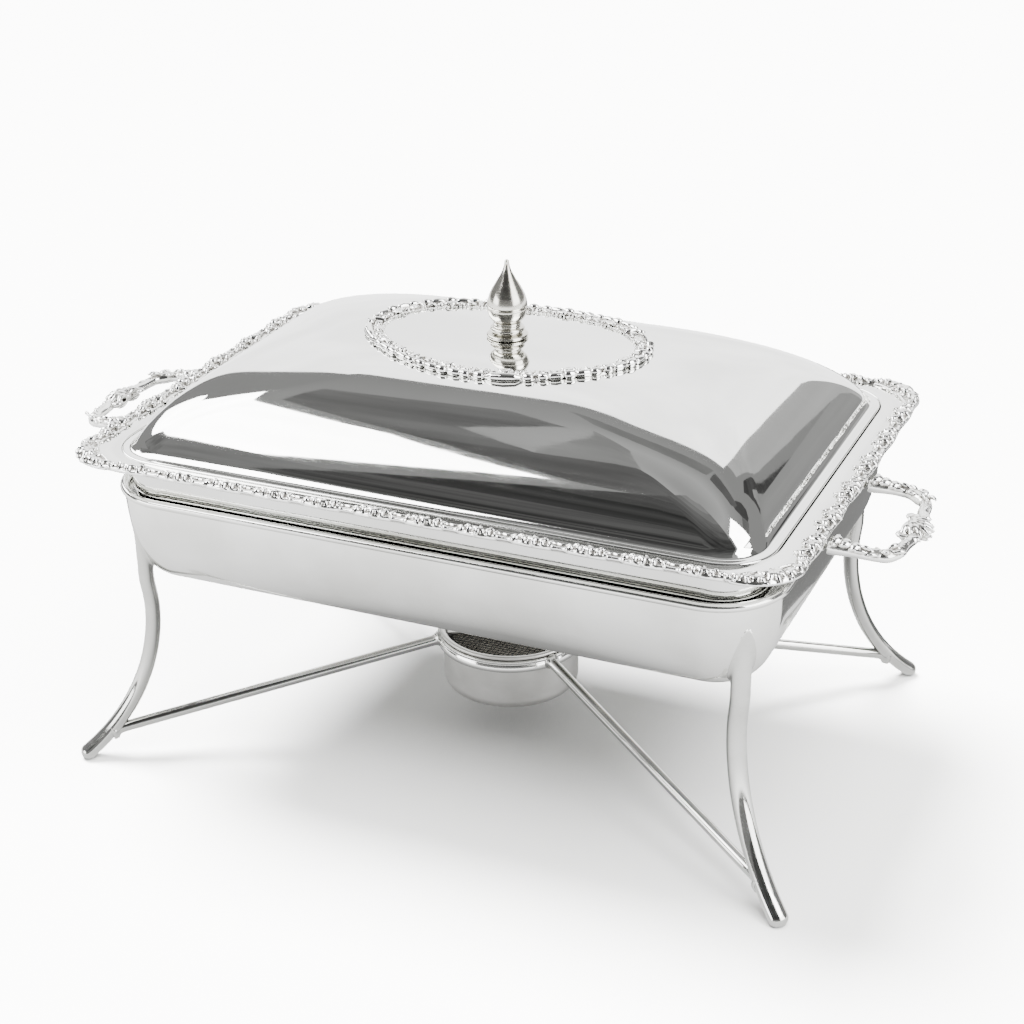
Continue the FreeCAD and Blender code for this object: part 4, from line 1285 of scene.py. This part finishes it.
def add_room(name, material, **seen):
    """A big ball round everything, cut off a little below the floor."""
    loops = []
    for degrees in range(-4, 90, 4):
        rise = radians(degrees)
        loops.append(circle(ROOM_R * cos(rise), ROOM_R * sin(rise), 64))
    seen_by(mesh_object(name, *loft(loops, close_start=False), material), **seen)


def add_sheet(name, verts, material):
    """One flat face."""
    return mesh_object(name, verts, [tuple(range(len(verts)))], material, smooth=False)


def add_floor_patch(name, azimuths, reaches, level):
    """Darker part of the floor's reflection, between two azimuths and two distances."""
    material = glow_material(name, [(0.35, level * 0.8), (0.65, level * 1.2)], "noise", 2.0)
    first, last = azimuths
    near, far = reaches
    turns = [first + (last - first) * k / 12 for k in range(13)]
    verts = [direction(turn, 0) * near for turn in turns]
    verts += [direction(turn, 0) * far for turn in turns[::-1]]
    seen_by(add_sheet(name, [(v.x, v.y, -0.3) for v in verts], material), glossy=True)


def add_sun(name, azimuth, elevation, spread, level):
    """Wide soft light; level is the brightness that it gives the floor."""
    data = bpy.data.lights.new(name, "SUN")
    data.angle = radians(spread)
    data.energy = level * pi / (FLOOR_SHARE * sin(radians(elevation)))
    lamp = bpy.data.objects.new(name, data)
    lamp.rotation_mode = "QUATERNION"
    lamp.rotation_quaternion = direction(azimuth, elevation).to_track_quat("Z", "Y")
    bpy.context.collection.objects.link(lamp)
    lamp.visible_glossy = False


def make_surroundings():
    """Pale floor and soft light, and a grey studio that only the bright metal reflects."""
    world = bpy.data.worlds.new("studio")
    world.use_nodes = True
    background = world.node_tree.nodes["Background"]
    background.inputs["Strength"].default_value = 0.45
    background.inputs["Color"].default_value = (1.0, 1.0, 1.0, 1.0)
    bpy.context.scene.world = world
    material, tree, shader = new_material("studio_floor")
    cloud = add_noise(tree, 0.8, 3)
    colours = [(0.3, (0.865, 0.865, 0.85)), (0.7, (0.885, 0.885, 0.872))]
    add_ramp(tree, cloud, colours, shader.inputs["Base Color"])
    shader.inputs["Roughness"].default_value = 0.8
    shader.inputs["Specular IOR Level"].default_value = 0.1
    floor = add_sheet("floor", circle(ROOM_R, 0.0, 96), material)
    floor.visible_glossy = False
    add_sun("key", 152, 61, 30, 8.9)
    add_sun("fill", -30, 68, 54, 2.8)

    levels = [(0.0, FLOOR_WHITE), (1.0, FLOOR_WHITE * 0.98)]
    add_room("backdrop", glow_material("backdrop", levels, "height", 0.1), camera=True)
    levels = [(0.0, 0.29), (0.80, 0.29), (0.90, 0.36), (0.95, 0.5), (0.985, 0.42), (1.0, 0.36)]
    add_room("grey_room", glow_material("grey_room", levels, "height", 1000 / ROOM_R), glossy=True)
    # Floor that only reflections see: a glowing disc, darker near the dish as a painted shadow in the metal's
    # reflections.
    levels = [(0.0, 0.22), (0.13, 0.45), (0.21, 1.25), (0.32, 1.9), (0.7, 3.1), (1.0, 3.6)]
    sheen = glow_material("sheen_floor", levels, "distance")
    seen_by(add_sheet("sheen_floor", circle(ROOM_R, -0.6, 96), sheen), glossy=True)

    for name, corners, *rest in CARDS:
        add_card(name, corners, *rest)
    for low, high, level, uneven in FRONT_SHADES:
        corners = [(turn, low) for turn in range(-124, -31, 23)]
        corners += [(turn, high) for turn in range(-32, -125, -23)]
        add_card(f"front_shade_{low}", corners, level, uneven, stretch=(0.7, 0.7, 4))
    add_floor_patch("floor_shade_right", (24, 92), (290, 1500), 0.28)
    add_floor_patch("floor_shade_left", (140, 172), (330, 1300), 0.5)


make_camera()
make_water_pan()
make_bead()
for corner, signs in CORNERS.items():
    make_leg(corner, *signs)
    make_rod(corner, *signs)
make_band()
make_food_pan()
for edge in ("front", "back", "left", "right"):
    make_border(edge)
for corner, signs in CORNERS.items():
    make_corner(corner, *signs)
for edge, side in (("left", -1), ("right", 1)):
    make_handle(edge, side)
    make_tabs(edge, side)
make_cover_ring(make_cover_shell())
make_pegs()
make_finial()
make_fixing()
make_cup()
make_wadding()
make_screen()
make_surroundings()
